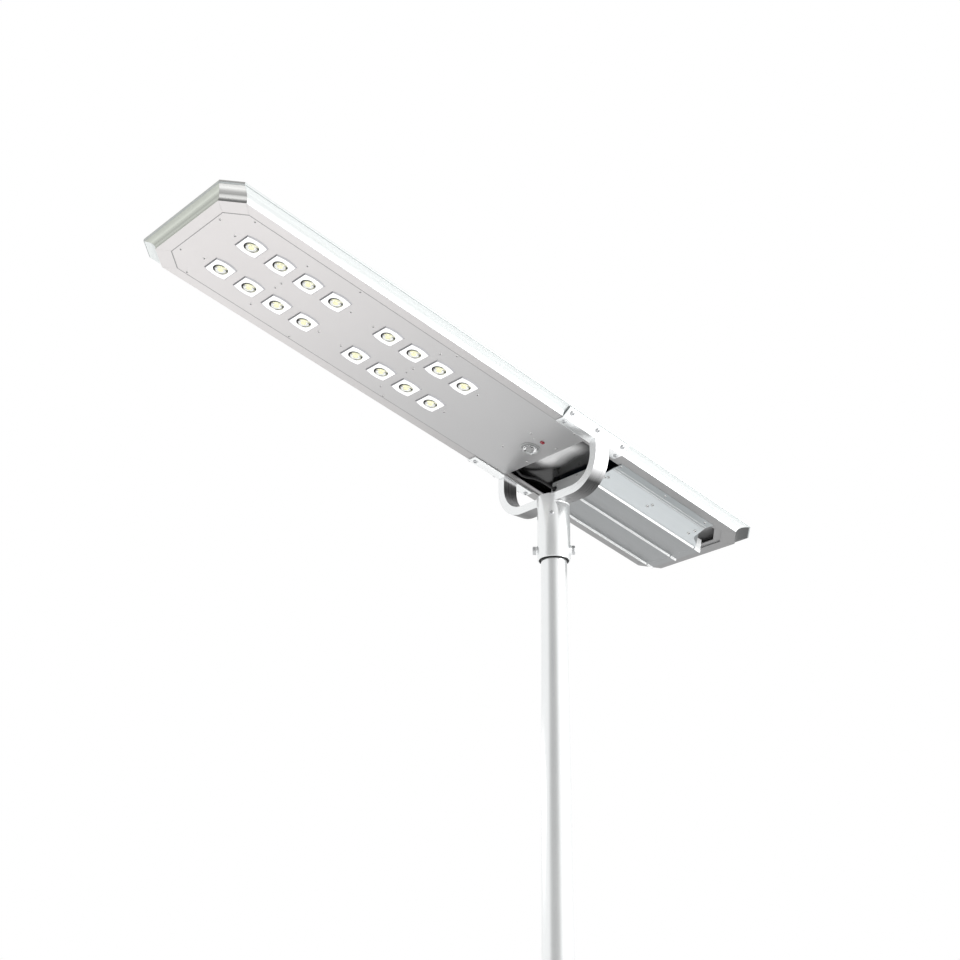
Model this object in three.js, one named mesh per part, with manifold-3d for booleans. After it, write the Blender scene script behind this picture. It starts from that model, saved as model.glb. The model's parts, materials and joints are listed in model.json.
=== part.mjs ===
// All-in-one solar street lamp on the upper section of a tapered pole.
// Millimetres, +Z up, origin on the pole's axis at its lower end.
// +X runs from the lamp end of the head to its battery end, +Y to the far side.
// Pieces of the head are made in the head's own frame: z = 0 is the underside of the frame
// flange, and the group `head` carries them to their height and tilt on the pole.
import * as THREE from "three";
import { mergeVertices } from "three/addons/utils/BufferGeometryUtils.js";
import Module from "manifold-3d";

const wasm = await Module();
wasm.setup();

// ---- driving dimensions ----
const GAP = 0.3; // clearance between touching pieces
const HEAD_HEIGHT = 1500; // height of the flange underside on the pole's axis
const HEAD_TILT = THREE.MathUtils.degToRad(13.2); // the battery end hangs lower

const FRAME = {
  front: -952, // x of the bottom outline's lamp end
  rear: 463, // x of its battery end
  halfWidth: 150.6,
  chamfer: 38, // corner cut of the bottom outline
  flare: 19.1, // how far the top lip stands out past the bottom outline
  height: 23.6,
  lip: 4.1, // height of the flat lip above the cove
  flange: 24, // width of the bottom flange
  tongue: 36, // how far the raised tongue that carries the plates reaches in
  sheet: 2,
  seatIn: 8, // how far out the glass seat's inner edge is
};
const COVE = { foot: 2, reach: 17.4, top: 17.4, sag: 3.6, wall: 2.2, steps: 8 };
const SLIP_OUT = 1.2; // how a corner cut grows with the outline, outwards
const SLIP_IN = 0.9; // and inwards
const PANEL = { glass: 3, laminate: 1.6, laminateOut: 7.4, seat: 20.3, inset: 2.9 };
const JUNCTION_BOX = { x: -290, length: 80, width: 64, height: 9 };

const LENS = {
  pitch: 66.8,
  rowOffset: 54,
  halfLength: 24.5,
  halfWidth: 22.8,
  bulge: 2.6, // how far the long sides bow out
  bevel: 2, // edge bevel between the plate and the lens face
  domeR: 13.5,
  domeSquash: 0.19, // dome height over its radius
  rimLength: 54,
  rimWidth: 56,
  rimHeight: 1.9,
};
const LENS_STEPS = [-1.5, -0.5, 0.5, 1.5]; // the four lenses of a row, in pitches from its middle
const LENS_GROUPS = [-737.3, -405.2]; // x of the middle of each group of eight
const BOARD = { length: 286, width: 92, thick: 1.6, low: 4.6 };
const PLATE_END = -25; // x of the lamp plate's rear edge
const BULKHEAD = { thick: 1.7, halfWidth: 114, top: 18 };
const CONTROLLER = { x: -177.5, length: 105, width: 110, low: 4.6, height: 11.4 };
const SENSOR = {
  x: -68,
  flangeR: 21.5,
  domeR: 15,
  domeSquash: 0.62,
  boreR: 11,
  low: -2.2, // z of the flange's face
  pocket: -0.8, // z of the floor of the pocket that the dome sits in
  top: 6,
};
const BUTTON = {
  x: -69.5,
  y: -40,
  length: 9,
  width: 6.5,
  travel: 1.5,
  low: -2.4,
  collar: 2, // how far the collar that keeps it in stands out
  collarThick: 1.2,
};

const HOUSING = {
  front: 70.3,
  rear: 380,
  flangeFront: 84,
  flangeY: 126,
  shoulderY: 101,
  floorY: 72.5,
  floorZ: -40,
  ridge: 4.5, // height of the bottom ridges
  ridgeHalf: 2.4,
  sheet: 2,
};
const WALL_CUT = { x: 363, z: -25 }; // where the slant cut at the walls' rear end meets the end cap
const END_PLATE = { x: 68, thick: 2, top: 11, halfWidth: 74 };
const END_CAP = { rear: 398, sheet: 2.5, halfWidth: 73.5, top: -11 };
const PACK = { front: 76, rear: 374, halfWidth: 66, low: -34, top: 12, corner: 6 };

const BRACKET = { front: -114, rear: 58, sideBolts: [-102, -28, 46], flangeBolts: [-102, 50], reach: 23 };
const BRACKET_UNDER = -2.9; // z of the bottom leg's underside, in the head's frame
const LEG = { foot: [2.1, -0.6], top: [17.6, 13.1], boltAt: 0.68 }; // slanted leg's outer face, [out, z]
const BUTTON_HEAD = { r: 5, height: 2.8, shank: 2.5, sideLength: 9, flangeLength: 8 };
const FLANGE_BOLT_IN = 9.6; // how far in from the outline the flange bolts sit

const YOKE = {
  x: -3.4, // its middle, a little towards the lamp end of the pole's axis
  outerY: 153.3,
  thick: 18.3,
  width: 37,
  innerTop: -81.5,
  innerBend: 57,
  root: 10,
  steps: 12,
};
const SLEEVE = { r: 34.8, bore: 31.5, top: -82, low: -223, boltZ: -200 };
const SET_BOLT = { r: 5, flats: 17, head: 5.8, nut: 3.6, tip: 28.4, angles: [-45, 135] };
const POLE = { top: -96, topR: 26.6, lowR: 34.8, wall: 3.5 };

// The two-core battery lead: controller, hole in the bulkhead, cable bay, end plate, battery pack.
const LEAD = { r: 3, holeR: 4, bulkheadY: 100, bulkheadZ: 9, endPlateY: 63, endPlateZ: -9, steps: 44 };
const LEAD_ROUTE = [
  [-124.5, 40, 9],
  [-105, 42, 9],
  [-75, 62, 9],
  [-52, 88, 9],
  [-38, 99, 9],
  [-26, 100, 9],
  [-10, 104, 9],
  [4, 108, 8.5],
  [16, 103, 8],
  [27, 91, 7],
  [38, 80, 3],
  [50, 70, -4],
  [60, 64.5, -8],
  [69, 63, -9],
  [75.6, 63, -9],
];

const X_AXIS = new THREE.Vector3(1, 0, 0);
const Y_AXIS = new THREE.Vector3(0, 1, 0);
const Z_AXIS = new THREE.Vector3(0, 0, 1);

// ---- finishes ----
const finish = (color, roughness, metalness) =>
  new THREE.MeshStandardMaterial({ color, roughness, metalness });
const PAINT = finish(0xf2f5f6, 0.35, 0.1);
const FRAME_ALU = finish(0xe4ebea, 0.4, 0.6);
const SHEET_ALU = finish(0xc2c2c0, 0.45, 0.6);
const HOUSING_ALU = finish(0xa9acae, 0.5, 0.5);
const STEEL = finish(0xb9bcbe, 0.3, 0.9);
const CLEAR = finish(0xf4f7f8, 0.08, 0);
const GLASS = finish(0x10151f, 0.06, 0);
const BLACK = finish(0x111214, 0.3, 0);
const BOARD_WHITE = finish(0xeceeea, 0.5, 0);
const RED = finish(0x9c2b30, 0.35, 0);
const BLUE_WRAP = finish(0x2a5a86, 0.5, 0);
const GREY_PLASTIC = finish(0x6f7477, 0.5, 0);

// ---- small geometry tools ----
function weld(geometry) {
  const bare = geometry.clone();
  bare.deleteAttribute("normal");
  bare.deleteAttribute("uv");
  return mergeVertices(bare, 1e-3);
}

function solid(geometry) {
  const welded = weld(geometry);
  return new wasm.Manifold(
    new wasm.Mesh({
      numProp: 3,
      vertProperties: new Float32Array(welded.attributes.position.array),
      triVerts: new Uint32Array(welded.index.array),
    }),
  );
}

function surface(body) {
  const mesh = body.getMesh();
  return new THREE.BufferGeometry()
    .setAttribute("position", new THREE.BufferAttribute(mesh.vertProperties, 3))
    .setIndex(new THREE.BufferAttribute(mesh.triVerts, 1));
}

const cut = (geometry, tools) =>
  surface(tools.reduce((body, tool) => body.subtract(solid(tool)), solid(geometry)));

const join = (geometry, others) =>
  surface(others.reduce((body, other) => body.add(solid(other)), solid(geometry)));

const shapeOf = (points) => new THREE.Shape(points.map(([x, y]) => new THREE.Vector2(x, y)));

// A flat piece with its outline in XY, from z = low upwards.
function plate(points, low, thick, holes = []) {
  const shape = shapeOf(points);
  shape.holes = holes.map((hole) => shapeOf(hole));
  return new THREE.ExtrudeGeometry(shape, { depth: thick, bevelEnabled: false }).translate(0, 0, low);
}

// A bar with its section in YZ, from x = start to x = end.
function barAlongX(section, start, end) {
  const bar = new THREE.ExtrudeGeometry(shapeOf(section), { depth: end - start, bevelEnabled: false });
  bar.applyMatrix4(new THREE.Matrix4().makeBasis(Y_AXIS, Z_AXIS, X_AXIS));
  return bar.translate(start, 0, 0);
}

// A box from its two corners.
function box(x0, x1, y0, y1, z0, z1) {
  const block = new THREE.BoxGeometry(x1 - x0, y1 - y0, z1 - z0);
  return block.translate((x0 + x1) / 2, (y0 + y1) / 2, (z0 + z1) / 2);
}

// A turned piece about Z from [radius, z] points that start and end on the axis or close.
function turned(points, segments) {
  const profile = points.map(([r, z]) => new THREE.Vector2(r, z));
  return new THREE.LatheGeometry(profile, segments).rotateX(Math.PI / 2);
}

// A plain cylinder along Z from z0 to z1.
function rod(r, z0, z1, segments = 16) {
  const bar = new THREE.CylinderGeometry(r, r, z1 - z0, segments);
  return bar.rotateX(Math.PI / 2).translate(0, 0, (z0 + z1) / 2);
}

// A short drill along X for the battery lead, centred on the given point.
const leadDrill = (x, y, z) => rod(LEAD.holeR, -5, 5, 12).rotateY(Math.PI / 2).translate(x, y, z);

function rectangle(cx, cy, lengthX, lengthY) {
  const [a, b] = [lengthX / 2, lengthY / 2];
  return [
    [cx - a, cy - b],
    [cx + a, cy - b],
    [cx + a, cy + b],
    [cx - a, cy + b],
  ];
}

const circle = (cx, cy, r, count) =>
  Array.from({ length: count }, (_, i) => {
    const a = (2 * Math.PI * i) / count;
    return [cx + r * Math.cos(a), cy + r * Math.sin(a)];
  });

// Points on an arc about (cx, cy), angles in degrees.
const arc = (cx, cy, r, from, to, steps) =>
  Array.from({ length: steps + 1 }, (_, i) => {
    const a = THREE.MathUtils.degToRad(from + ((to - from) * i) / steps);
    return [cx + r * Math.cos(a), cy + r * Math.sin(a)];
  });

// [radius, z] points of a downward dome, from its lowest point out to its rim at height z.
const bowl = (r, z, squash, steps) =>
  arc(0, 0, r, -90, 0, steps).map(([x, y], i) => [i ? x : 0, z + y * squash]);

// The mirror image across the XZ plane, with its faces turned back out.
function mirrorY(geometry) {
  const flipped = weld(geometry).scale(1, -1, 1);
  const index = flipped.index.array;
  for (let i = 0; i < index.length; i += 3) {
    [index[i + 1], index[i + 2]] = [index[i + 2], index[i + 1]];
  }
  return flipped;
}

// A closed skin between rings of the same number of points, with a flat cap on each end.
// The caps' triangles come from `flat`, the rings' two-dimensional outline, which runs
// counterclockwise, looking along the way that the rings go.
function loft(rings, flat) {
  const n = flat.length;
  const last = (rings.length - 1) * n;
  const outlinePoints = flat.map(([u, v]) => new THREE.Vector2(u, v));
  const caps = THREE.ShapeUtils.triangulateShape(outlinePoints, []);
  const index = caps.flatMap(([a, b, c]) => [a, b, c, last + a, last + c, last + b]);
  for (let ring = 0; ring < last; ring += n) {
    for (let a = 0; a < n; a += 1) {
      const b = (a + 1) % n;
      index.push(ring + a, ring + n + a, ring + n + b, ring + a, ring + n + b, ring + b);
    }
  }
  return new THREE.BufferGeometry()
    .setAttribute("position", new THREE.Float32BufferAttribute(rings.flat(2), 3))
    .setIndex(index);
}

// ---- scene graph ----
const lamp = new THREE.Group();
const head = new THREE.Group();
head.position.z = HEAD_HEIGHT;
head.rotation.y = HEAD_TILT;
lamp.add(head);

function add(group, name, geometry, material) {
  const mesh = new THREE.Mesh(geometry, material);
  mesh.name = name;
  group.add(mesh);
}

// ---- head outline ----
// The eight corners of the outline set out by `out` from the bottom outline, counterclockwise
// from the near side's lamp end. A corner cut keeps nearly its size as the outline grows.
function outline(out) {
  const { front, rear, halfWidth, chamfer } = FRAME;
  const slip = out * (out > 0 ? SLIP_OUT : SLIP_IN);
  const [x0, x1, y] = [front - out, rear + out, halfWidth + out];
  const [cx0, cx1, cy] = [front + chamfer - slip, rear - chamfer + slip, halfWidth - chamfer + slip];
  return [
    [cx0, -y],
    [cx1, -y],
    [x1, -cy],
    [x1, cy],
    [cx1, y],
    [cx0, y],
    [x0, cy],
    [x0, -cy],
  ];
}

// The cove's curve as [out, z], moved in by `inward`: an arc of the given sag over its chord.
function coveCurve(inward) {
  const { foot, reach, top, sag, steps } = COVE;
  const chord = new THREE.Vector2(reach, top - foot);
  const half = chord.length() / 2;
  const r = (half * half + sag * sag) / (2 * sag);
  const normal = new THREE.Vector2(chord.y, -chord.x).normalize();
  const centre = new THREE.Vector2(reach / 2, (foot + top) / 2).addScaledVector(normal, r - sag);
  const start = THREE.MathUtils.radToDeg(Math.atan2(foot - centre.y, -centre.x));
  const end = THREE.MathUtils.radToDeg(Math.atan2(top - centre.y, reach - centre.x));
  return arc(centre.x, centre.y, r + inward, start < 0 ? start + 360 : start, end, steps);
}

// The frame's profile as [out, z]: a concave cove under a thin lip, a seat for the glass,
// and a flange whose inner tongue is raised by one sheet.
function frameProfile() {
  const { flange, tongue, sheet, flare, height, lip, seatIn } = FRAME;
  const { reach, top, wall } = COVE;
  const tongueTop = sheet + GAP + 2;
  const inner = coveCurve(wall).filter(([, z]) => z > tongueTop && z < PANEL.seat - wall - 0.5);
  return [
    [-flange, 0],
    [0, 0],
    ...coveCurve(0),
    [reach, top + 0.7],
    [flare, height - lip - 0.9],
    [flare, height],
    [flare - PANEL.inset + GAP, height],
    [flare - PANEL.inset + GAP, PANEL.seat],
    [seatIn, PANEL.seat],
    [seatIn, PANEL.seat - wall],
    ...inner.reverse(),
    [-wall, tongueTop],
    [-tongue, tongueTop],
    [-tongue, sheet + GAP],
    [-flange, sheet + GAP],
  ];
}

// One straight stretch of the frame, from corner `from` to corner `to` of the outline.
function frameStretch(from, to) {
  const profile = frameProfile();
  const [a, b] = [outline(0)[from], outline(0)[to]];
  const along = new THREE.Vector2(b[0] - a[0], b[1] - a[1]).setLength(GAP / 2);
  const ring = (corner, way) =>
    profile.map(([out, z]) => {
      const [x, y] = outline(out)[corner];
      return [x + along.x * way, y + along.y * way, z];
    });
  return loft([ring(from, 1), ring(to, -1)], profile);
}

// ---- bolts ----
const legRun = new THREE.Vector2(LEG.top[0] - LEG.foot[0], LEG.top[1] - LEG.foot[1]);
const legSlope = legRun.angle(); // slope of the brackets' slanted leg, from the head's plane

// A button-head bolt with its seat at z = 0, its head below it and its shank above.
function boltShape(shankLength) {
  const { r, height, shank } = BUTTON_HEAD;
  const bolt = turned(
    [
      [0, -height],
      [r * 0.72, -height],
      [r, -height * 0.45],
      [r, 0],
      [shank, 0],
      [shank, shankLength],
      [0, shankLength],
    ],
    16,
  );
  const socket = rod(r * 0.5, -height * 1.45, -height * 0.45, 6);
  return cut(bolt, [socket]);
}

// Turns a piece made along Z so that +Z points into the slanted side of the frame.
function setInSide(geometry, x) {
  const [out, z] = [0, 1].map((k) => LEG.foot[k] + LEG.boltAt * (LEG.top[k] - LEG.foot[k]));
  return geometry.translate(0, 0, -GAP).rotateX(-legSlope).translate(x, -(FRAME.halfWidth + out), z);
}

const drillR = BUTTON_HEAD.shank + GAP;
const flangeBoltY = -(FRAME.halfWidth - FLANGE_BOLT_IN);
const sideBolt = (x) => setInSide(boltShape(BUTTON_HEAD.sideLength), x);
const sideHole = (x) => setInSide(rod(drillR, -6, 13, 12), x);
const flangeBolt = (x) =>
  boltShape(BUTTON_HEAD.flangeLength).translate(x, flangeBoltY, BRACKET_UNDER - GAP);
const flangeHole = (x) => rod(drillR, -8, 8, 12).translate(x, flangeBoltY, 0);
const sideDrills = () => BRACKET.sideBolts.map(sideHole);
const flangeDrills = () => BRACKET.flangeBolts.map(flangeHole);

// ---- frame ----
function buildFrame() {
  const drills = [...sideDrills(), ...flangeDrills()];
  const mirrored = drills.map((tool) => mirrorY(tool));
  add(head, "frame_rail_near", cut(frameStretch(0, 1), drills), FRAME_ALU);
  add(head, "frame_rail_far", cut(frameStretch(4, 5), mirrored), FRAME_ALU);
  add(head, "frame_rail_rear", frameStretch(2, 3), FRAME_ALU);
  add(head, "frame_rail_front", frameStretch(6, 7), FRAME_ALU);
  add(head, "frame_corner_near_rear", frameStretch(1, 2), FRAME_ALU);
  add(head, "frame_corner_far_rear", frameStretch(3, 4), FRAME_ALU);
  add(head, "frame_corner_far_front", frameStretch(5, 6), FRAME_ALU);
  add(head, "frame_corner_near_front", frameStretch(7, 0), FRAME_ALU);
}

// ---- solar panel ----
function buildPanel() {
  const { seat, glass, laminate, laminateOut, inset } = PANEL;
  add(head, "solar_glass", plate(outline(FRAME.flare - inset), seat + GAP, glass), GLASS);
  add(head, "solar_laminate", plate(outline(laminateOut), seat - laminate, laminate), BLACK);
  const { x, length, width, height } = JUNCTION_BOX;
  const low = seat - laminate - GAP - height;
  add(head, "junction_box", plate(rectangle(x, 0, length, width), low, height), BLACK);
}

// ---- lamp compartment ----
// A lens outline: straight ends across, long sides that bulge out.
function lensOutline(cx, cy, grow) {
  const steps = 6;
  const half = LENS.halfLength + grow;
  const side = Array.from({ length: steps + 1 }, (_, i) => {
    const u = -1 + (2 * i) / steps;
    return [u * half, LENS.halfWidth + grow + LENS.bulge * (1 - u * u)];
  });
  return [
    ...side.map(([x, y]) => [cx + x, cy - y]),
    ...side.reverse().map(([x, y]) => [cx + x, cy + y]),
  ];
}

const rowLenses = (middle) => LENS_STEPS.map((step) => middle + step * LENS.pitch);

// A lens: a bevelled face just below the plate, a shallow dome on it and a rim above the plate.
function lensShape(cx, cy) {
  const { bevel, domeR, domeSquash, rimLength, rimWidth, rimHeight } = LENS;
  const low = FRAME.sheet + GAP;
  const ring = (grow, z) => lensOutline(cx, cy, grow).map(([x, y]) => [x, y, z]);
  const body = loft([ring(-GAP, low + GAP), ring(-GAP, 0), ring(-GAP - bevel, -bevel)], ring(-GAP, 0));
  const rim = plate(rectangle(cx, cy, rimLength, rimWidth), low, rimHeight);
  const dome = turned([...bowl(domeR, -bevel + 0.1, domeSquash, 5), [0, -bevel + 0.1]], 16);
  return join(body, [rim, dome.translate(cx, cy, 0)]);
}

function buildLampPlate() {
  const rim = outline(-FRAME.flange - GAP);
  const y = FRAME.halfWidth - FRAME.flange - GAP;
  const points = [[rim[0][0], -y], [PLATE_END, -y], [PLATE_END, y], [rim[5][0], y], rim[6], rim[7]];
  const lenses = LENS_GROUPS.flatMap((middle) =>
    rowLenses(middle).flatMap((x) => [-1, 1].map((side) => lensOutline(x, side * LENS.rowOffset, 0))),
  );
  const sensor = circle(SENSOR.x, 0, SENSOR.boreR + GAP, 20);
  const button = rectangle(BUTTON.x, BUTTON.y, BUTTON.length + 2 * GAP, BUTTON.width + 2 * GAP);
  add(head, "lamp_plate", plate(points, 0, FRAME.sheet, [...lenses, sensor, button]), SHEET_ALU);
}

function buildLenses() {
  LENS_GROUPS.forEach((middle, group) => {
    [-1, 1].forEach((side) => {
      const y = side * LENS.rowOffset;
      const row = (group ? "rear" : "front") + (side < 0 ? "_near" : "_far");
      rowLenses(middle).forEach((x, i) => add(head, `lens_${row}_${i + 1}`, lensShape(x, y), CLEAR));
      const board = plate(rectangle(middle, y, BOARD.length, BOARD.width), BOARD.low, BOARD.thick);
      add(head, `led_board_${row}`, board, BOARD_WHITE);
    });
  });
}

function buildSensor() {
  const { x, flangeR, domeR, domeSquash, boreR, low, pocket, top } = SENSOR;
  const base = turned(
    [
      [0, pocket],
      [domeR + GAP, pocket],
      [domeR + GAP, low],
      [flangeR, low],
      [flangeR, -GAP],
      [boreR, -GAP],
      [boreR, top],
      [0, top],
    ],
    24,
  );
  add(head, "sensor_base", base.translate(x, 0, 0), SHEET_ALU);
  const seat = pocket - GAP;
  const dome = turned([...bowl(domeR, low, domeSquash, 6), [domeR, seat], [0, seat]], 20);
  add(head, "sensor_dome", dome.translate(x, 0, 0), CLEAR);
}

// The button's collar sits its travel below the boards' underside, so it can be pressed in.
function buildButton() {
  const { x, y, length, width, low, collar, collarThick, travel } = BUTTON;
  const seat = FRAME.sheet + GAP;
  const top = seat + collarThick + travel;
  const cap = plate(rectangle(x, y, length, width), low, top - low);
  const ring = plate(rectangle(x, y, length + 2 * collar, width + 2 * collar), seat, collarThick);
  add(head, "push_button", join(cap, [ring]), RED);
}

function buildInside() {
  const { thick, halfWidth, top } = BULKHEAD;
  const end = PLATE_END - GAP;
  const wall = box(end - thick, end, -halfWidth, halfWidth, FRAME.sheet + GAP, top);
  const drill = leadDrill(end, LEAD.bulkheadY, LEAD.bulkheadZ);
  add(head, "lamp_bulkhead", cut(wall, [drill]), SHEET_ALU);
  const { x, length, width, low, height } = CONTROLLER;
  add(head, "charge_controller", plate(rectangle(x, 0, length, width), low, height), GREY_PLASTIC);
}

// ---- battery compartment ----
// The housing's outer section in YZ, with its walls moved in by `inset`, from side to side.
function housingSection(inset) {
  const { shoulderY, floorY, floorZ, sheet } = HOUSING;
  return [
    [-(shoulderY - inset * 1.2), sheet],
    [-(floorY - inset * 0.7), floorZ + inset],
    [floorY - inset * 0.7, floorZ + inset],
    [shoulderY - inset * 1.2, sheet],
  ];
}

// The three ridges along the bottom, from x = start to x = end.
function ridges(start, end) {
  const { floorY, floorZ, ridge, ridgeHalf } = HOUSING;
  const crown = ridgeHalf * 0.6;
  return [-floorY, 0, floorY].map((y) =>
    barAlongX(
      [
        [y - ridgeHalf, floorZ + 1],
        [y - crown, floorZ - ridge],
        [y + crown, floorZ - ridge],
        [y + ridgeHalf, floorZ + 1],
      ],
      start,
      end,
    ),
  );
}

// Cutters, one a side, that take the walls and flanges back behind a slanted rear edge.
function rearCuts() {
  const { rear, floorY, flangeY } = HOUSING;
  const shape = [
    [WALL_CUT.x, WALL_CUT.z],
    [rear + 1, WALL_CUT.z - 8],
    [rear + 1, 1],
    [rear - 2, 1],
  ];
  return [-1, 1].map((side) => {
    const prism = plate(shape, 0, flangeY - floorY + 6).rotateX(Math.PI / 2);
    return side < 0 ? prism.translate(0, -floorY - 3, 0) : prism.translate(0, flangeY + 3, 0);
  });
}

function buildHousing() {
  const { front, rear, flangeFront, flangeY, shoulderY, sheet } = HOUSING;
  const outer = barAlongX(housingSection(0), front, rear);
  const mouth = shoulderY - 1.2 * sheet;
  const floor = housingSection(sheet).slice(1, 3);
  const hollow = barAlongX([[-mouth, sheet + 1], ...floor, [mouth, sheet + 1]], front - 1, rear + 1);
  const flanges = [
    box(flangeFront, rear, -flangeY, 1 - shoulderY, 0, sheet),
    box(flangeFront, rear, shoulderY - 1, flangeY, 0, sheet),
  ];
  const notches = [-1, 1].map((side) => {
    const notch = barAlongX(rectangle(side * 96, 1, 28, 40), -30, 0).rotateY(0.6);
    return notch.translate(flangeFront + 2, 0, -1);
  });
  const shell = cut(join(outer, flanges), [hollow, ...notches, ...rearCuts()]);
  add(head, "battery_housing", join(shell, ridges(front, rear)), HOUSING_ALU);
}

function buildHousingEnds() {
  const { floorY, floorZ, rear } = HOUSING;
  const { x, thick, top, halfWidth } = END_PLATE;
  const sheet = barAlongX(
    [
      [-floorY, floorZ],
      [floorY, floorZ],
      [halfWidth, floorZ + 2],
      [halfWidth, top],
      [-halfWidth, top],
      [-halfWidth, floorZ + 2],
    ],
    x,
    x + thick,
  );
  const drill = leadDrill(x, LEAD.endPlateY, LEAD.endPlateZ);
  add(head, "housing_end_plate", cut(sheet, [drill]), SHEET_ALU);
  const cap = END_CAP;
  const front = rear + GAP;
  const tray = box(front, cap.rear, -cap.halfWidth, cap.halfWidth, floorZ, cap.top);
  const inside = cap.halfWidth - cap.sheet;
  const pocket = box(front - 1, cap.rear - cap.sheet, -inside, inside, floorZ + cap.sheet, cap.top + 1);
  add(head, "housing_end_cap", join(cut(tray, [pocket]), ridges(front, cap.rear)), PAINT);
}

function buildBattery() {
  const { front, rear, halfWidth, low, top, corner } = PACK;
  const section = [
    [corner - halfWidth, low],
    [halfWidth - corner, low],
    [halfWidth, low + corner],
    [halfWidth, top],
    [-halfWidth, top],
    [-halfWidth, low + corner],
  ];
  add(head, "battery_pack", barAlongX(section, front, rear), BLUE_WRAP);
}

function buildLead() {
  const lead = new THREE.ExtrudeGeometry(shapeOf(circle(0, 0, LEAD.r, 8)), {
    steps: LEAD.steps,
    extrudePath: new THREE.CatmullRomCurve3(LEAD_ROUTE.map((point) => new THREE.Vector3(...point))),
    bevelEnabled: false,
  });
  add(head, "battery_lead", lead, BLACK);
}

// ---- brackets and yoke ----
// The near bracket: a bottom leg under the flange and a slanted leg that follows the cove.
function bracketShape() {
  const { front, rear, reach } = BRACKET;
  const section = [
    [-reach, -GAP],
    [-reach, BRACKET_UNDER],
    [1, BRACKET_UNDER],
    LEG.foot,
    LEG.top,
    [LEG.top[0] - 1.5, LEG.top[1] + 1.8],
    [0.5, 1.2],
    [0.35, -GAP],
  ].map(([out, z]) => [-(FRAME.halfWidth + out), z]);
  return cut(barAlongX(section.reverse(), front, rear), [...sideDrills(), ...flangeDrills()]);
}

function buildBrackets() {
  [-1, 1].forEach((side) => {
    const label = side < 0 ? "near" : "far";
    const turn = (geometry) => (side < 0 ? geometry : mirrorY(geometry));
    add(head, `bracket_${label}`, turn(bracketShape()), PAINT);
    BRACKET.sideBolts.forEach((x, i) => add(head, `side_bolt_${label}_${i + 1}`, turn(sideBolt(x)), STEEL));
    BRACKET.flangeBolts.forEach((x, i) =>
      add(head, `flange_bolt_${label}_${i + 1}`, turn(flangeBolt(x)), STEEL),
    );
  });
}

// The far arm of the yoke: out from the sleeve, round a wide bend and up to the bracket,
// where its end follows the head's tilt.
function armShape() {
  const { x, outerY, thick, width, innerTop, innerBend, root, steps } = YOKE;
  const [bendY, bendZ] = [outerY - thick - innerBend, innerTop + innerBend];
  const end = 20; // a mark above the bracket, lowered to its underside below
  const section = [
    [-root, innerTop],
    [-root, innerTop - thick],
    ...arc(bendY, bendZ, innerBend + thick, -90, 0, steps),
    [outerY, end],
    [outerY - thick, end],
    ...arc(bendY, bendZ, innerBend, 0, -90, steps),
  ];
  const arm = barAlongX(section, x - width / 2, x + width / 2).translate(0, 0, HEAD_HEIGHT);
  const position = arm.getAttribute("position");
  const underBracket = (BRACKET_UNDER - GAP) / Math.cos(HEAD_TILT);
  for (let i = 0; i < position.count; i += 1) {
    if (position.getZ(i) < HEAD_HEIGHT + end / 2) continue;
    position.setZ(i, HEAD_HEIGHT + underBracket - Math.tan(HEAD_TILT) * position.getX(i));
  }
  const bore = rod(SLEEVE.r + GAP, SLEEVE.low, 0, 48);
  return cut(arm, [bore.translate(0, 0, HEAD_HEIGHT)]);
}

function buildYoke() {
  add(lamp, "yoke_arm_far", armShape(), PAINT);
  add(lamp, "yoke_arm_near", mirrorY(armShape()), PAINT);
}

// Turns a piece made along +Z to point straight out of the sleeve at its set bolt.
function outOfSleeve(geometry, angle) {
  return geometry
    .rotateY(Math.PI / 2)
    .rotateZ(THREE.MathUtils.degToRad(angle))
    .translate(0, 0, HEAD_HEIGHT + SLEEVE.boltZ);
}

const hexagon = (flats, z0, z1) => rod(flats / 2 / Math.cos(Math.PI / 6), z0, z1, 6);

function buildSleeve() {
  const { r, bore, top, low } = SLEEVE;
  const tube = turned(
    [
      [bore, low],
      [r, low],
      [r, top],
      [bore, top],
      [bore, low],
    ],
    48,
  ).translate(0, 0, HEAD_HEIGHT);
  const seat = r + SET_BOLT.nut;
  const nuts = SET_BOLT.angles.map((angle) => outOfSleeve(hexagon(SET_BOLT.flats, r - 2, seat), angle));
  const drills = SET_BOLT.angles.map((angle) => outOfSleeve(rod(SET_BOLT.r + GAP, 20, 60, 16), angle));
  add(lamp, "pole_sleeve", cut(join(tube, nuts), drills), PAINT);
  SET_BOLT.angles.forEach((angle, i) => {
    const shank = rod(SET_BOLT.r, SET_BOLT.tip, seat + GAP + 1, 16);
    const hex = hexagon(SET_BOLT.flats, seat + GAP, seat + GAP + SET_BOLT.head);
    add(lamp, `set_bolt_${i + 1}`, outOfSleeve(join(hex, [shank]), angle), STEEL);
  });
}

// ---- pole ----
function buildPole() {
  const { top, topR, lowR, wall } = POLE;
  const height = HEAD_HEIGHT + top;
  const tube = turned(
    [
      [lowR - wall, 0],
      [lowR, 0],
      [topR, height],
      [topR - wall, height],
      [lowR - wall, 0],
    ],
    48,
  );
  add(lamp, "pole", tube, PAINT);
}

buildPole();
buildSleeve();
buildYoke();
buildBrackets();
buildFrame();
buildPanel();
buildLampPlate();
buildLenses();
buildSensor();
buildButton();
buildInside();
buildHousing();
buildHousingEnds();
buildBattery();
buildLead();

export default lamp;
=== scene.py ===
"""All-in-one solar street lamp: the finished surfaces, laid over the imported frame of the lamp.

The head is drawn in its own flat frame, millimetres, with z = 0 on the underside of the frame
flange, x from the lamp end to the battery end and y to the far side, and is then tipped and
lifted to its place on the pole. The yoke, sleeve and pole are drawn about the pole's axis.
"""

import json
import math

import bpy
import numpy as np
from bpy.props import FloatProperty, FloatVectorProperty, PointerProperty
from mathutils import Matrix, Vector

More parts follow.
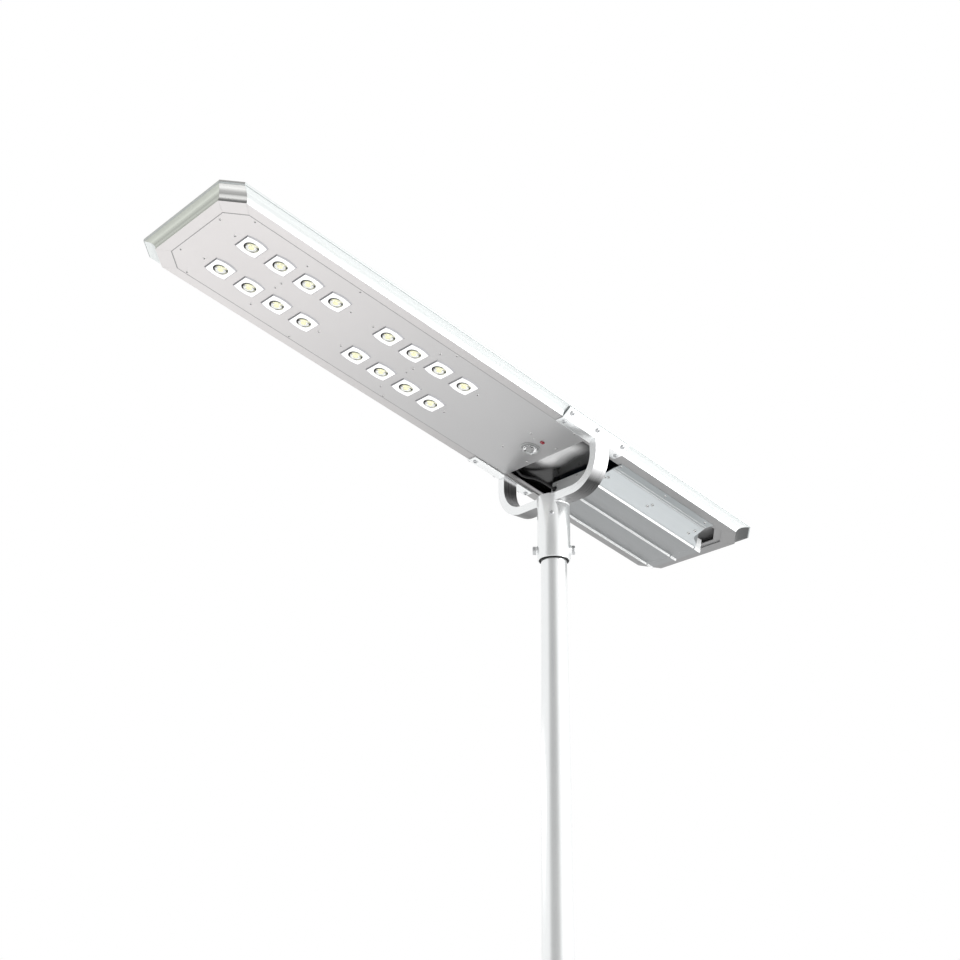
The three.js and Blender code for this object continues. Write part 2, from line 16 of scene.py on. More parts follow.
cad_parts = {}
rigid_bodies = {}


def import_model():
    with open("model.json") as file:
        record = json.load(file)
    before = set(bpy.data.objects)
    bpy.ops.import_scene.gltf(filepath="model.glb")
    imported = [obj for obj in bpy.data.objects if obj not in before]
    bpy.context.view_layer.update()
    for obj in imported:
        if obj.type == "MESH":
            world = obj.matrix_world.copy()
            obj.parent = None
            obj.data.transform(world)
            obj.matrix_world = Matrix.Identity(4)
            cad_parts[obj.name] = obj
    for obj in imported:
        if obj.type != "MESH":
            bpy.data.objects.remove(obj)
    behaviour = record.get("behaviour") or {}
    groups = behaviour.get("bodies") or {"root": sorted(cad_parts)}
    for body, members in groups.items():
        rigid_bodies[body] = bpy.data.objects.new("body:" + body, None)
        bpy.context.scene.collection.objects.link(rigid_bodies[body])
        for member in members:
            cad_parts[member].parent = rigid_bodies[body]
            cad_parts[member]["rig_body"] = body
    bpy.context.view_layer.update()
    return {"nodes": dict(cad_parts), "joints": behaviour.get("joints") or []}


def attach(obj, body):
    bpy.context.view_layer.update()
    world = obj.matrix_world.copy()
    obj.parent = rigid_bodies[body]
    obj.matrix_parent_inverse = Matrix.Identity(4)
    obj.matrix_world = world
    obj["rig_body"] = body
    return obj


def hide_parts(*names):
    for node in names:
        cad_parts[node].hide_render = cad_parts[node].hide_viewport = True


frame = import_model()

bl_info = {
    "name": "Solar street lamp",
    "version": (1, 0, 0),
    "blender": (4, 5, 0),
    "location": "View3D > Sidebar > Street lamp",
    "description": "Builds the surfaces and finishes of an all-in-one solar street lamp",
    "category": "Add Mesh",
}

MM = 0.001
GAP = 0.3  # clearance between touching pieces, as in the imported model
JOINT_GAP = 0.12  # half the fine line where two pieces of the frame meet
BRACKET_LOW = -2.9  # underside of the bracket's foot
BUTTON_PLACE = np.array([-69.5, -40.0])
BUTTON_AXIS = next(j for j in frame["joints"] if j["name"] == "button_press")["axis"]
TILT = math.atan2(BUTTON_AXIS[0], BUTTON_AXIS[2])
HEAD_LIFT = 1500.0  # height of the flange underside on the pole's axis
SET_BOLT_ANGLES = (-45.0, 135.0)
LENS_GROUPS = (-737.3, -405.2)  # x of the middle of each group of eight lenses
SIDES = (("near", -1), ("far", 1))


# ---------------------------------------------------------------- sizes and colours


def length(name, description, millimetres):
    """A size that a user may change, kept in metres."""
    return FloatProperty(name=name, description=description, default=millimetres * MM,
                         unit="LENGTH", precision=5)


def share(name, description, default):
    """A plain number from 0 to 1."""
    return FloatProperty(name=name, description=description, default=default,
                         min=0.0, max=1.0, subtype="FACTOR")


def colour(name, description, red, green, blue):
    """A linear colour."""
    return FloatVectorProperty(name=name, description=description, default=(red, green, blue),
                               size=3, min=0.0, max=1.0, subtype="COLOR")


class LampHeadSizes(bpy.types.PropertyGroup):
    """Sizes of the flat head: its frame, lamp plate, lenses and panel."""

    front: length("Front", "Lamp end of the bottom outline", -952)
    rear: length("Rear", "Battery end of the bottom outline", 463)
    half_width: length("Half width", "Half width of the bottom outline", 150.6)
    chamfer: length("Chamfer", "Corner cut of the bottom outline", 38)
    flare: length("Flare", "How far the top lip stands out", 19.1)
    height: length("Height", "Height of the frame", 23.6)
    flange: length("Flange", "Width of the bottom flange", 24)
    tongue: length("Tongue", "Reach of the raised tongue", 36)
    sheet: length("Sheet", "Thickness of the sheet parts", 2)
    lens_pitch: length("Lens pitch", "Distance between lenses in a row", 66.8)
    lens_row: length("Lens row", "Distance of a row from the middle", 54)
    lens_half_length: length("Lens half length", "Half length of a lens along the head", 24.5)
    lens_half_width: length("Lens half width", "Half width of a lens at its ends", 22.8)
    lens_bulge: length("Lens bulge", "How far a lens's long sides bow out", 2.6)
    plate_end: length("Plate end", "Rear edge of the lamp plate", -25)
    sensor_x: length("Sensor", "Place of the motion sensor", -68)
    cell: length("Cell", "Side of a solar cell", 156)


class LampYokeSizes(bpy.types.PropertyGroup):
    """Sizes of the yoke, its sleeve and the pole."""

    arm_middle: length("Arm middle", "Middle of the arms along the head", -3.4)
    arm_outer: length("Arm outer", "Outer face of an arm from the middle", 153.3)
    arm_thick: length("Arm thickness", "Thickness of an arm", 18.3)
    arm_width: length("Arm width", "Width of an arm along the head", 37)
    arm_top: length("Arm inner top", "Upper face of the cross part", -81.5)
    arm_bend: length("Arm bend", "Inner radius of the bend", 57)
    sleeve_radius: length("Sleeve radius", "Outside radius of the sleeve", 34.8)
    sleeve_bore: length("Sleeve bore", "Inside radius of the sleeve", 31.5)
    sleeve_top: length("Sleeve top", "Top of the sleeve below the head", -82)
    sleeve_low: length("Sleeve low", "Lower rim of the sleeve below the head", -223)
    bolt_drop: length("Set bolts", "Height of the set bolts below the head", -200)
    pole_top: length("Pole top", "Top of the pole below the head", -96)
    pole_top_radius: length("Pole top radius", "Outside radius at the top", 26.6)
    pole_low_radius: length("Pole low radius", "Outside radius at the lower end", 34.8)
    pole_wall: length("Pole wall", "Wall of the pole", 3.5)


class LampHousingSizes(bpy.types.PropertyGroup):
    """Sizes of the battery housing under the rear of the head."""

    front: length("Front", "Front edge of the housing's floor", 70.3)
    rear: length("Rear", "Rear edge of the housing's floor", 380)
    flange_reach: length("Flange reach", "Outer edge of the flanges", 126)
    shoulder: length("Shoulder", "Half width where the walls meet the flanges", 101)
    floor_half: length("Floor half width", "Half width of the floor", 72.5)
    floor_drop: length("Floor drop", "Height of the floor", -40)
    ridge: length("Ridge", "Height of the bottom ridges", 4.5)
    cap_rear: length("Cap rear", "Rear face of the end cap", 398)
    cap_half: length("Cap half width", "Half width of the end cap", 73.5)
    cap_top: length("Cap top", "Upper edge of the end cap", -11)


class LampFinishes(bpy.types.PropertyGroup):
    """Colours of the finishes."""

    paint: colour("Paint", "White powder coat", 0.96, 0.98, 0.985)
    frame: colour("Frame", "Satin frame aluminium", 0.92, 0.955, 0.95)
    # The lamp plate's lit and shaded tones: painted light at the lamp end and painted shade near the yoke.
    plate_lit: colour("Plate light", "Lamp plate at the lamp end", 0.76, 0.735, 0.73)
    plate_shaded: colour("Plate dark", "Lamp plate near the yoke", 0.49, 0.49, 0.492)
    wall: colour("Housing wall", "Slanted walls of the battery housing", 0.44, 0.465, 0.475)
    floor: colour("Housing floor", "Bottom of the battery housing", 0.35, 0.36, 0.365)
    phosphor: colour("Phosphor", "Yellow phosphor of the light sources", 1.0, 0.95, 0.6)
    cell: colour("Cell", "Solar cells", 0.008, 0.012, 0.035)
    button: colour("Button", "Push button", 0.3, 0.02, 0.035)
    wrap: colour("Pack wrap", "Shrink wrap of the battery pack", 0.03, 0.12, 0.35)


class LampStage(bpy.types.PropertyGroup):
    """The plain stage."""

    floor: colour("Floor", "Pale floor", 0.93, 0.93, 0.93)
    light: share("Light", "Strength of the room's light", 1.0)


# ---------------------------------------------------------------- shapes as arrays


def place(points):
    """World metres from head millimetres: tip about the Y axis by the tilt, then lift."""
    x, y, z = np.moveaxis(np.asarray(points, float), -1, 0)
    c, s = math.cos(TILT), math.sin(TILT)
    return np.stack([x * c + z * s, y, z * c - x * s + HEAD_LIFT], -1) * MM


def lift(points):
    """World metres from millimetres about the pole's axis, z = 0 at the head's height."""
    return (np.asarray(points, float) + (0.0, 0.0, HEAD_LIFT)) * MM


def grid_faces(rows, columns, start=0, wrap_columns=False, wrap_rows=False):
    """Quads of a rows x columns grid whose points run along the columns first."""
    r = np.arange(rows if wrap_rows else rows - 1)[:, None]
    c = np.arange(columns if wrap_columns else columns - 1)[None, :]
    r2, c2 = (r + 1) % rows, (c + 1) % columns
    quads = np.stack([r * columns + c, r * columns + c2, r2 * columns + c2, r2 * columns + c], -1)
    return (quads.reshape(-1, 4) + start).tolist()


class Shell:
    """Points and faces of one piece, gathered grid by grid."""

    def __init__(self):
        self.points, self.faces, self.paint, self.count = [], [], [], 0

    def grid(self, points, wrap_columns=False, wrap_rows=False, caps="", slot=0, cap_slot=None):
        """Adds a grid of points (rows, columns, 3). `caps` may hold "first" and "last" for
        flat ends on those rows, which are closed rings."""
        points = np.asarray(points, float)
        rows, columns = points.shape[:2]
        faces = grid_faces(rows, columns, self.count, wrap_columns, wrap_rows)
        sides = len(faces)
        ring = np.arange(columns)
        if "first" in caps:
            faces.append((self.count + ring[::-1]).tolist())
        if "last" in caps:
            faces.append((self.count + (rows - 1) * columns + ring).tolist())
        self.points.append(points.reshape(-1, 3))
        self.add(faces, slot)
        if cap_slot is not None:
            ends = len(faces) - sides
            self.paint[len(self.paint) - ends:] = [cap_slot] * ends
        self.count += rows * columns
        return self

    def solid(self, points, slot=0, cap_slot=None):
        """Adds a grid of closed rows with a flat end on the first and on the last."""
        return self.grid(points, wrap_columns=True, caps="first last", slot=slot, cap_slot=cap_slot)

    def ring(self, points):
        """Adds a grid that closes on itself both ways."""
        return self.grid(points, wrap_columns=True, wrap_rows=True)

    def add(self, faces, slot):
        """Keeps the faces, turned outwards: their signed volume about their own middle is made
        positive."""
        every = np.concatenate(self.points)
        small = [face if len(face) == 4 else [*face, face[2]] for face in faces if len(face) < 5]
        a, b, c, d = np.moveaxis(every[small] - every[np.ravel(small)].mean(0), 1, 0)
        volume = np.einsum("ij,ij->i", a, np.cross(b, c) + np.cross(c, d)).sum()
        if volume < 0:
            faces = [face[::-1] for face in faces]
        self.faces += faces
        self.paint += np.broadcast_to(slot, len(faces)).tolist()

    def fan(self, points):
        """Like a grid with closed rows, flat over the first and drawn to a point at the last."""
        points = np.asarray(points, float)
        rows, columns = points.shape[:2]
        faces = grid_faces(rows - 1, columns, self.count, True)
        base, tip = self.count + (rows - 2) * columns, self.count + (rows - 1) * columns
        c = np.arange(columns)
        faces += np.stack([base + c, base + (c + 1) % columns, np.full(columns, tip)], -1).tolist()
        faces.append((self.count + c[::-1]).tolist())
        self.points.append(np.vstack([points[:-1].reshape(-1, 3), points[-1, :1]]))
        self.add(faces, 0)
        self.count += (rows - 1) * columns + 1
        return self


def build(name, shell, finishes, replaces=(), to_world=place, body="head", sharp=35.0,
          bevel=0.0, angles=None):
    """Makes the piece, gives it its finishes and fastens it to its body. `sharp` is the angle past
    which an edge is hard, and `angles` give each point its share of a turn."""
    mesh = bpy.data.meshes.new(name)
    points = to_world(np.concatenate(shell.points))
    mesh.from_pydata(points.tolist(), [], shell.faces)
    mesh.polygons.foreach_set("material_index", np.array(shell.paint, np.int32))
    if angles is not None:
        layer = mesh.attributes.new("turn", "FLOAT", "POINT")
        layer.data.foreach_set("value", np.asarray(angles, np.float32).ravel())
    mesh.shade_smooth()
    mesh.set_sharp_from_angle(angle=math.radians(sharp))
    for finish_name in finishes:
        mesh.materials.append(finish(finish_name))
    mesh.validate()
    piece = bpy.data.objects.new(name, mesh)
    bpy.context.scene.collection.objects.link(piece)
    if bevel:
        edge = piece.modifiers.new("Edges", "BEVEL")
        edge.width = bevel * MM
        edge.segments = 2
        edge.limit_method = "ANGLE"
        edge.angle_limit = math.radians(sharp)
        edge.harden_normals = True
    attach(piece, body)
    if replaces:
        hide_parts(*replaces)
    return piece


def turned(profile, steps=48, centre=(0.0, 0.0)):
    """A profile of (radius, z) carried round the Z axis: (r cos a, r sin a, z)."""
    r, z = np.asarray(profile, float).T
    a = np.arange(steps) * (2 * math.pi / steps)
    x = r[:, None] * np.cos(a) + centre[0]
    y = r[:, None] * np.sin(a) + centre[1]
    return np.stack([x, y, np.repeat(z[:, None], steps, 1)], -1)


def arc(cx, cy, r, start, end, steps):
    """Points on a circle about (cx, cy) from one angle to another, in degrees."""
    a = np.radians(np.linspace(start, end, steps + 1))
    return np.stack([cx + r * np.cos(a), cy + r * np.sin(a)], -1)


def rounded(points, radius, steps=4):
    """A closed outline with each corner replaced by a curve that starts `radius` before it and
    ends `radius` after it: the quadratic (1-t)^2 a + 2t(1-t) b + t^2 c."""
    p = np.asarray(points, float)
    before, after = np.roll(p, 1, 0) - p, np.roll(p, -1, 0) - p
    lengths = [np.linalg.norm(v, axis=1)[:, None] for v in (before, after)]
    cuts = [np.minimum(radius, n * 0.45) for n in lengths]
    a, c = p + before / lengths[0] * cuts[0], p + after / lengths[1] * cuts[1]
    t = np.linspace(0, 1, steps + 1)[None, :, None]
    curve = (1 - t) ** 2 * a[:, None] + 2 * t * (1 - t) * p[:, None] + t**2 * c[:, None]
    return curve.reshape(-1, p.shape[1])


def bar_x(section, start, end):
    """A section of (y, z) carried along X between two places, as a two-row grid."""
    section = np.asarray(section, float)
    x = np.array([start, end], float)[:, None, None]
    sheet = np.broadcast_to(section, (2, *section.shape))
    return np.concatenate([np.broadcast_to(x, (2, len(section), 1)), sheet], -1)


def bar_z(outline_points, low, high):
    """An outline of (x, y) carried up from low to high, as a two-row grid."""
    flat = np.asarray(outline_points, float)
    z = np.array([low, high], float)[:, None, None]
    return np.concatenate([np.broadcast_to(flat, (2, *flat.shape)),
                           np.broadcast_to(z, (2, len(flat), 1))], -1)


def rectangle(cx, cy, length_x, length_y):
    """Corners of a rectangle, counterclockwise."""
    a, b = length_x / 2, length_y / 2
    return np.array([[cx - a, cy - b], [cx + a, cy - b], [cx + a, cy + b], [cx - a, cy + b]])


def mirrored(shell):
    """The shell's mirror image across the XZ plane, with its faces turned back out."""
    copy = Shell()
    copy.points = [p * (1, -1, 1) for p in shell.points]
    copy.faces = [face[::-1] for face in shell.faces]
    copy.paint, copy.count = list(shell.paint), shell.count
    return copy


def turn_matrix(direction):
    """A matrix whose third column is the direction, so that +Z turns into it."""
    return np.array(Vector((0, 0, 1)).rotation_difference(Vector(direction)).to_matrix())


# ---------------------------------------------------------------- finishes


class Flow:
    """A value, vector or colour that flows between nodes; sums and products add Math nodes."""

    def __init__(self, finish, socket):
        self.finish, self.socket = finish, socket

    def _math(self, operation, first, second):
        return self.finish.node("ShaderNodeMath", {"operation": operation}, {0: first, 1: second})

    def __add__(self, other):
        return self._math("ADD", self, other)

    def __sub__(self, other):
        return self._math("SUBTRACT", self, other)

    def __rsub__(self, other):
        return self._math("SUBTRACT", other, self)

    def __mul__(self, other):
        return self._math("MULTIPLY", self, other)

    __radd__, __rmul__ = __add__, __mul__


class Finish:
    """A material under construction: one Principled shader and the nodes behind it."""

    def __init__(self, name):
        self.material = bpy.data.materials.new("finish_" + name)
        self.material.use_nodes = True
        self.tree = self.material.node_tree
        self.shader = self.tree.nodes["Principled BSDF"]

    def node(self, kind, settings=None, inputs=None, output=0):
        """Adds a node of that type, sets it up and joins its inputs; returns one output."""
        made = self.tree.nodes.new(kind)
        for key, value in (settings or {}).items():
            if key == "stops":
                ramp = made.color_ramp
                while len(ramp.elements) < len(value):
                    ramp.elements.new(0.5)
                for element, (position, tone) in zip(ramp.elements, value):
                    element.position = position
                    element.color = (*tone, 1.0)
            else:
                setattr(made, key, value)
        for key, value in (inputs or {}).items():
            self.join(made.inputs[key], value)
        return Flow(self, made.outputs[output])

    def join(self, socket, value):
        """Links a flow to a socket, or sets a plain value on it."""
        if isinstance(value, Flow):
            self.tree.links.new(value.socket, socket)
        elif hasattr(value, "__len__") and socket.type == "RGBA" and len(value) == 3:
            socket.default_value = (*value, 1.0)
        else:
            socket.default_value = value

    def set(self, **sockets):
        """Sets or links sockets of the shader; Base_Color stands for Base Color."""
        for key, value in sockets.items():
            self.join(self.shader.inputs[key.replace("_", " ")], value)
        return self

    def head_place(self):
        """Object coordinates turned back into the head's own frame, in metres."""
        here = self.node("ShaderNodeTexCoord", output="Object")
        c, s = math.cos(TILT), math.sin(TILT)
        up = HEAD_LIFT * MM
        return self.node("ShaderNodeMapping", {"vector_type": "POINT"},
                         {"Vector": here, "Location": (s * up, 0.0, -c * up), "Rotation": (0.0, -TILT, 0.0)})

    def here(self):
        """Object coordinates."""
        return self.node("ShaderNodeTexCoord", output="Object")

    def turn(self):
        """The piece's own share of a turn, from its point attribute."""
        return self.node("ShaderNodeAttribute",
                         {"attribute_name": "turn", "attribute_type": "GEOMETRY"}, output="Fac")

    def noise(self, place_flow, scale, detail=3.0, roughness=0.5):
        """Soft noise from 0 to 1; a scale of three numbers stretches it."""
        if hasattr(scale, "__len__"):
            place_flow = self.node("ShaderNodeVectorMath", {"operation": "MULTIPLY"},
                                   {0: place_flow, 1: scale})
            scale = 1.0
        return self.node("ShaderNodeTexNoise", None,
                         {"Vector": place_flow, "Scale": scale, "Detail": detail, "Roughness": roughness})

    def between(self, factor, low, high):
        """A colour between two colours."""
        return self.node("ShaderNodeMix", {"data_type": "RGBA"},
                         {"Factor": factor, 6: (*low, 1.0) if not isinstance(low, Flow) else low,
                          7: (*high, 1.0) if not isinstance(high, Flow) else high}, output=2)

    def stretch(self, value, start, end, low=0.0, high=1.0, smooth=False):
        """The value mapped from one range to another and held at its ends."""
        return self.node("ShaderNodeMapRange", {"interpolation_type": "SMOOTHSTEP" if smooth else "LINEAR"},
                         {"Value": value, "From Min": start, "From Max": end, "To Min": low, "To Max": high})

    def axis(self, place_flow, index):
        """One coordinate of a place."""
        return self.node("ShaderNodeSeparateXYZ", None, {0: place_flow}, output=index)

    def bump(self, height, strength, distance):
        """A normal bumped by a height."""
        return self.node("ShaderNodeBump", None,
                         {"Height": height, "Strength": strength, "Distance": distance})


def shade(tone, amount):
    """A colour made lighter or darker."""
    return tuple(min(1.0, max(0.0, c * amount)) for c in tone)


def powder_coat(name, tone):
    """White powder coat: fine orange peel and a faint drift of tone."""
    f = Finish(name)
    here = f.here()
    drift = f.noise(here, 6.0, 2.0)
    peel = f.noise(here, 620.0, 2.0)
    f.set(Base_Color=f.between(drift, shade(tone, 0.96), shade(tone, 1.03)),
          Roughness=f.stretch(drift, 0.2, 0.8, 0.18, 0.27), Metallic=0.8, Coat_Weight=0.3,
          Coat_Roughness=0.12, Normal=f.bump(peel, 0.12, 0.0004))
    return f.material


def drawn_aluminium(name, tone, roughness=0.34, metallic=0.85, lines=0.1):
    """Satin extruded aluminium: die lines along the head and faint smudges."""
    f = Finish(name)
    here = f.head_place()
    die = f.noise(here, (2.0, 700.0, 700.0), 4.0, 0.6)
    cloud = f.noise(here, 9.0, 3.0)
    f.set(Base_Color=f.between(die, shade(tone, 0.93), shade(tone, 1.05)),
          Roughness=f.stretch(cloud, 0.25, 0.75, roughness - 0.05, roughness + 0.07),
          Metallic=metallic, Normal=f.bump(die, lines, 0.0003))
    return f.material


def cove_painted_reflections(name, tint, stops):
    """Polished cove: painted reflections as bands of tone up its height, over fine die lines along the head.
    """
    f = Finish(name)
    here = f.head_place()
    die = f.noise(here, (2.0, 500.0, 500.0), 4.0, 0.6)
    rise = f.stretch(f.axis(here, 2), 0.0, 0.02) + (die - 0.5) * 0.05
    tones = [(at, tuple(tone * part for part in tint)) for at, tone in stops]
    bands = f.node("ShaderNodeValToRGB", {"stops": tones}, {0: rise})
    f.set(Base_Color=bands, Roughness=f.stretch(die, 0.3, 0.7, 0.26, 0.35), Metallic=0.8,
          Normal=f.bump(die, 0.08, 0.0003))
    return f.material


def lamp_sheet(name, light, dark, end=-0.02):
    """Bead-blasted sheet with painted shade that deepens away from the lamp end: a fine grain over broad
    clouds.
    """
    f = Finish(name)
    here = f.head_place()
    # Painted shade: the lit tone at the lamp end turns into the shaded tone along the head.
    along = f.stretch(f.axis(here, 0), -0.98, end, smooth=True)
    grain = f.noise(here, 1500.0, 2.0)
    cloud = f.noise(here, (3.0, 8.0, 8.0), 2.0)
    body = f.between(along, light, dark)
    speckled = f.between(f.stretch(grain, 0.35, 0.7, 0.0, 0.06), body, (1.0, 1.0, 1.0))
    f.set(Base_Color=speckled, Roughness=f.stretch(cloud, 0.2, 0.8, 0.36, 0.46), Metallic=0.8,
          Normal=f.bump(grain, 0.08, 0.0002))
    return f.material


def steel(name, tone=(0.62, 0.63, 0.64), roughness=0.28):
    """Turned stainless steel: fine rings of the tool and small dark flecks."""
    f = Finish(name)
    here = f.here()
    grain = f.noise(here, 900.0, 3.0)
    f.set(Base_Color=f.between(grain, shade(tone, 0.8), shade(tone, 1.1)),
          Roughness=f.stretch(grain, 0.3, 0.7, roughness - 0.06, roughness + 0.08), Metallic=1.0,
          Normal=f.bump(grain, 0.1, 0.0002))
    return f.material


def plastic(name, tone, roughness=0.4, grain_size=700.0, depth=0.12, coat=0.0):
    """Moulded plastic with a fine spark-eroded grain."""
    f = Finish(name)
    here = f.here()
    grain = f.noise(here, grain_size, 3.0)
    drift = f.noise(here, 25.0, 2.0)
    f.set(Base_Color=f.between(drift, shade(tone, 0.88), shade(tone, 1.1)),
          Roughness=f.stretch(grain, 0.3, 0.7, roughness - 0.04, roughness + 0.06), Metallic=0.0,
          Coat_Weight=coat, Coat_Roughness=0.05, Normal=f.bump(grain, depth, 0.0003))
    return f.material


def clear_plastic(name, tone=(0.97, 0.98, 0.98)):
    """Clear moulded lens material."""
    f = Finish(name)
    ripple = f.noise(f.here(), 130.0, 1.0)
    f.set(Base_Color=tone, Roughness=0.03, IOR=1.45, Transmission_Weight=1.0,
          Normal=f.bump(ripple, 0.05, 0.0004))
    return f.material


def lens_white(name):
    """Bright white lens carrier with a painted glow: a weak emission makes it look lit."""
    f = Finish(name)
    drift = f.noise(f.here(), 60.0, 2.0)
    f.set(Base_Color=f.between(drift, (0.95, 0.95, 0.95), (1.0, 1.0, 1.0)),
          Roughness=f.stretch(drift, 0.2, 0.8, 0.12, 0.24), Coat_Weight=0.5, Coat_Roughness=0.04,
          Emission_Color=(1.0, 1.0, 1.0, 1.0), Emission_Strength=0.28)
    return f.material


# Painted reflections along an arm and round a lens ring: tones by the share of the way round.
ARM_PAINTED_REFLECTIONS = [(at, (tone, tone, tone * 1.01)) for at, tone in (
    (0.0, 0.3), (0.12, 0.16), (0.17, 0.09), (0.23, 0.04), (0.31, 0.85), (0.5, 0.95),
    (0.55, 0.2), (0.66, 0.13), (0.72, 0.35), (0.78, 0.12), (0.86, 0.55), (1.0, 0.85))]
RING_PAINTED_REFLECTIONS = (
    (0.0, (0.55, 0.56, 0.42)), (0.07, (0.42, 0.43, 0.34)), (0.12, (0.12, 0.12, 0.1)),
    (0.17, (0.3, 0.3, 0.26)), (0.22, (0.8, 0.8, 0.74)), (0.3, (0.6, 0.6, 0.55)),
    (0.35, (0.04, 0.04, 0.035)), (0.44, (0.003, 0.003, 0.003)), (0.52, (0.05, 0.05, 0.045)),
    (0.62, (0.1, 0.11, 0.09)), (0.72, (0.25, 0.26, 0.22)), (0.78, (0.85, 0.85, 0.78)),
    (0.85, (0.6, 0.6, 0.45)), (0.88, (0.04, 0.05, 0.03)), (0.93, (0.03, 0.035, 0.02)),
    (0.97, (0.5, 0.5, 0.4)))


def arm_sheen(name):
    """Paint of the yoke's bends with painted reflections: bands of tone along the arm and fine brushing."""
    f = Finish(name)
    turn = f.turn()
    brush = f.noise(f.here(), (900.0, 12.0, 12.0), 3.0)
    tones = f.node("ShaderNodeValToRGB", {"stops": ARM_PAINTED_REFLECTIONS}, {0: turn + brush * 0.012})
    f.set(Base_Color=tones, Roughness=f.stretch(brush, 0.3, 0.7, 0.26, 0.36), Metallic=0.6,
          Normal=f.bump(brush, 0.06, 0.0003))
    return f.material


def reflector_ring(name):
    """Mirror ring round a light source: bright, with painted dark reflections at three places of its turn."""
    f = Finish(name)
    tones = f.node("ShaderNodeValToRGB", {"stops": RING_PAINTED_REFLECTIONS}, {0: f.turn()})
    f.set(Base_Color=tones, Roughness=0.4, Metallic=0.0, Specular_IOR_Level=0.2)
    return f.material


def phosphor(name, tone):
    """Yellow phosphor dome of a light source, with a fine powder grain."""
    f = Finish(name)
    grain = f.noise(f.here(), 1800.0, 2.0)
    f.set(Base_Color=f.between(grain, shade(tone, 0.9), shade(tone, 1.08)), Roughness=0.45,
          Emission_Color=(1.0, 0.97, 0.62, 1.0), Emission_Strength=0.45,
          Normal=f.bump(grain, 0.1, 0.0002))
    return f.material


def solar_cell(name, tone):
    """Dark blue cells: fine fingers across, a slow drift of blue and a deep gloss."""
    f = Finish(name)
    here = f.head_place()
    fingers = f.node("ShaderNodeTexWave", {"wave_type": "BANDS", "bands_direction": "X"},
                     {"Vector": here, "Scale": 170.0, "Distortion": 0.0})
    drift = f.noise(here, 5.0, 3.0)
    body = f.between(drift, shade(tone, 0.7), shade(tone, 1.7))
    f.set(Base_Color=f.between(f.stretch(fingers, 0.93, 0.99, 0.0, 0.25), body, (0.32, 0.34, 0.38)),
          Roughness=f.stretch(drift, 0.3, 0.7, 0.2, 0.28), Coat_Weight=1.0, Coat_Roughness=0.02)
    return f.material


UNDERSIDE = (0.0192, 0.0197)  # heights between which the backsheet's lower face ends, in metres


def panel_back(name):
    """Glossy black backsheet, with painted milky reflections where it is seen between the compartments and at
    its rear end.
    """
    f = Finish(name)
    here = f.head_place()
    cloud = f.noise(here, 14.0, 2.0)
    drift = cloud * 0.03
    x, y, z = (f.axis(here, index) for index in range(3))
    along, across = x + drift, y + drift
    # Painted reflections: a soft patch in the bay between the compartments and a grey band at the rear, on
    # the backsheet's lower face.
    bay = f.stretch(across, -0.085, -0.03, smooth=True) * f.stretch(across, 0.045, 0.085, 1.0, 0.0, True)
    bay = bay * f.stretch(along, 0.02, 0.055, 1.0, 0.0, True) * f.stretch(x, -0.05, -0.03, smooth=True)
    tail = f.stretch(x, 0.366, 0.376) * f.stretch(z, *UNDERSIDE, 0.3, 0.0)
    painted_reflection = bay * f.stretch(z, *UNDERSIDE, 1.0, 0.0) + tail
    black = f.between(cloud, (0.003, 0.003, 0.003), (0.01, 0.01, 0.01))
    f.set(Base_Color=f.between(painted_reflection, black, (0.75, 0.75, 0.75)),
          Roughness=f.stretch(cloud, 0.3, 0.7, 0.12, 0.24), Metallic=painted_reflection * 0.6, Specular_IOR_Level=0.6)
    return f.material


def stage_floor(name, tone):
    """Pale matt floor."""
    f = Finish(name)
    drift = f.noise(f.here(), 1.5, 3.0)
    f.set(Base_Color=f.between(drift, shade(tone, 0.985), shade(tone, 1.01)), Roughness=0.7,
          Specular_IOR_Level=0.2)
    return f.material


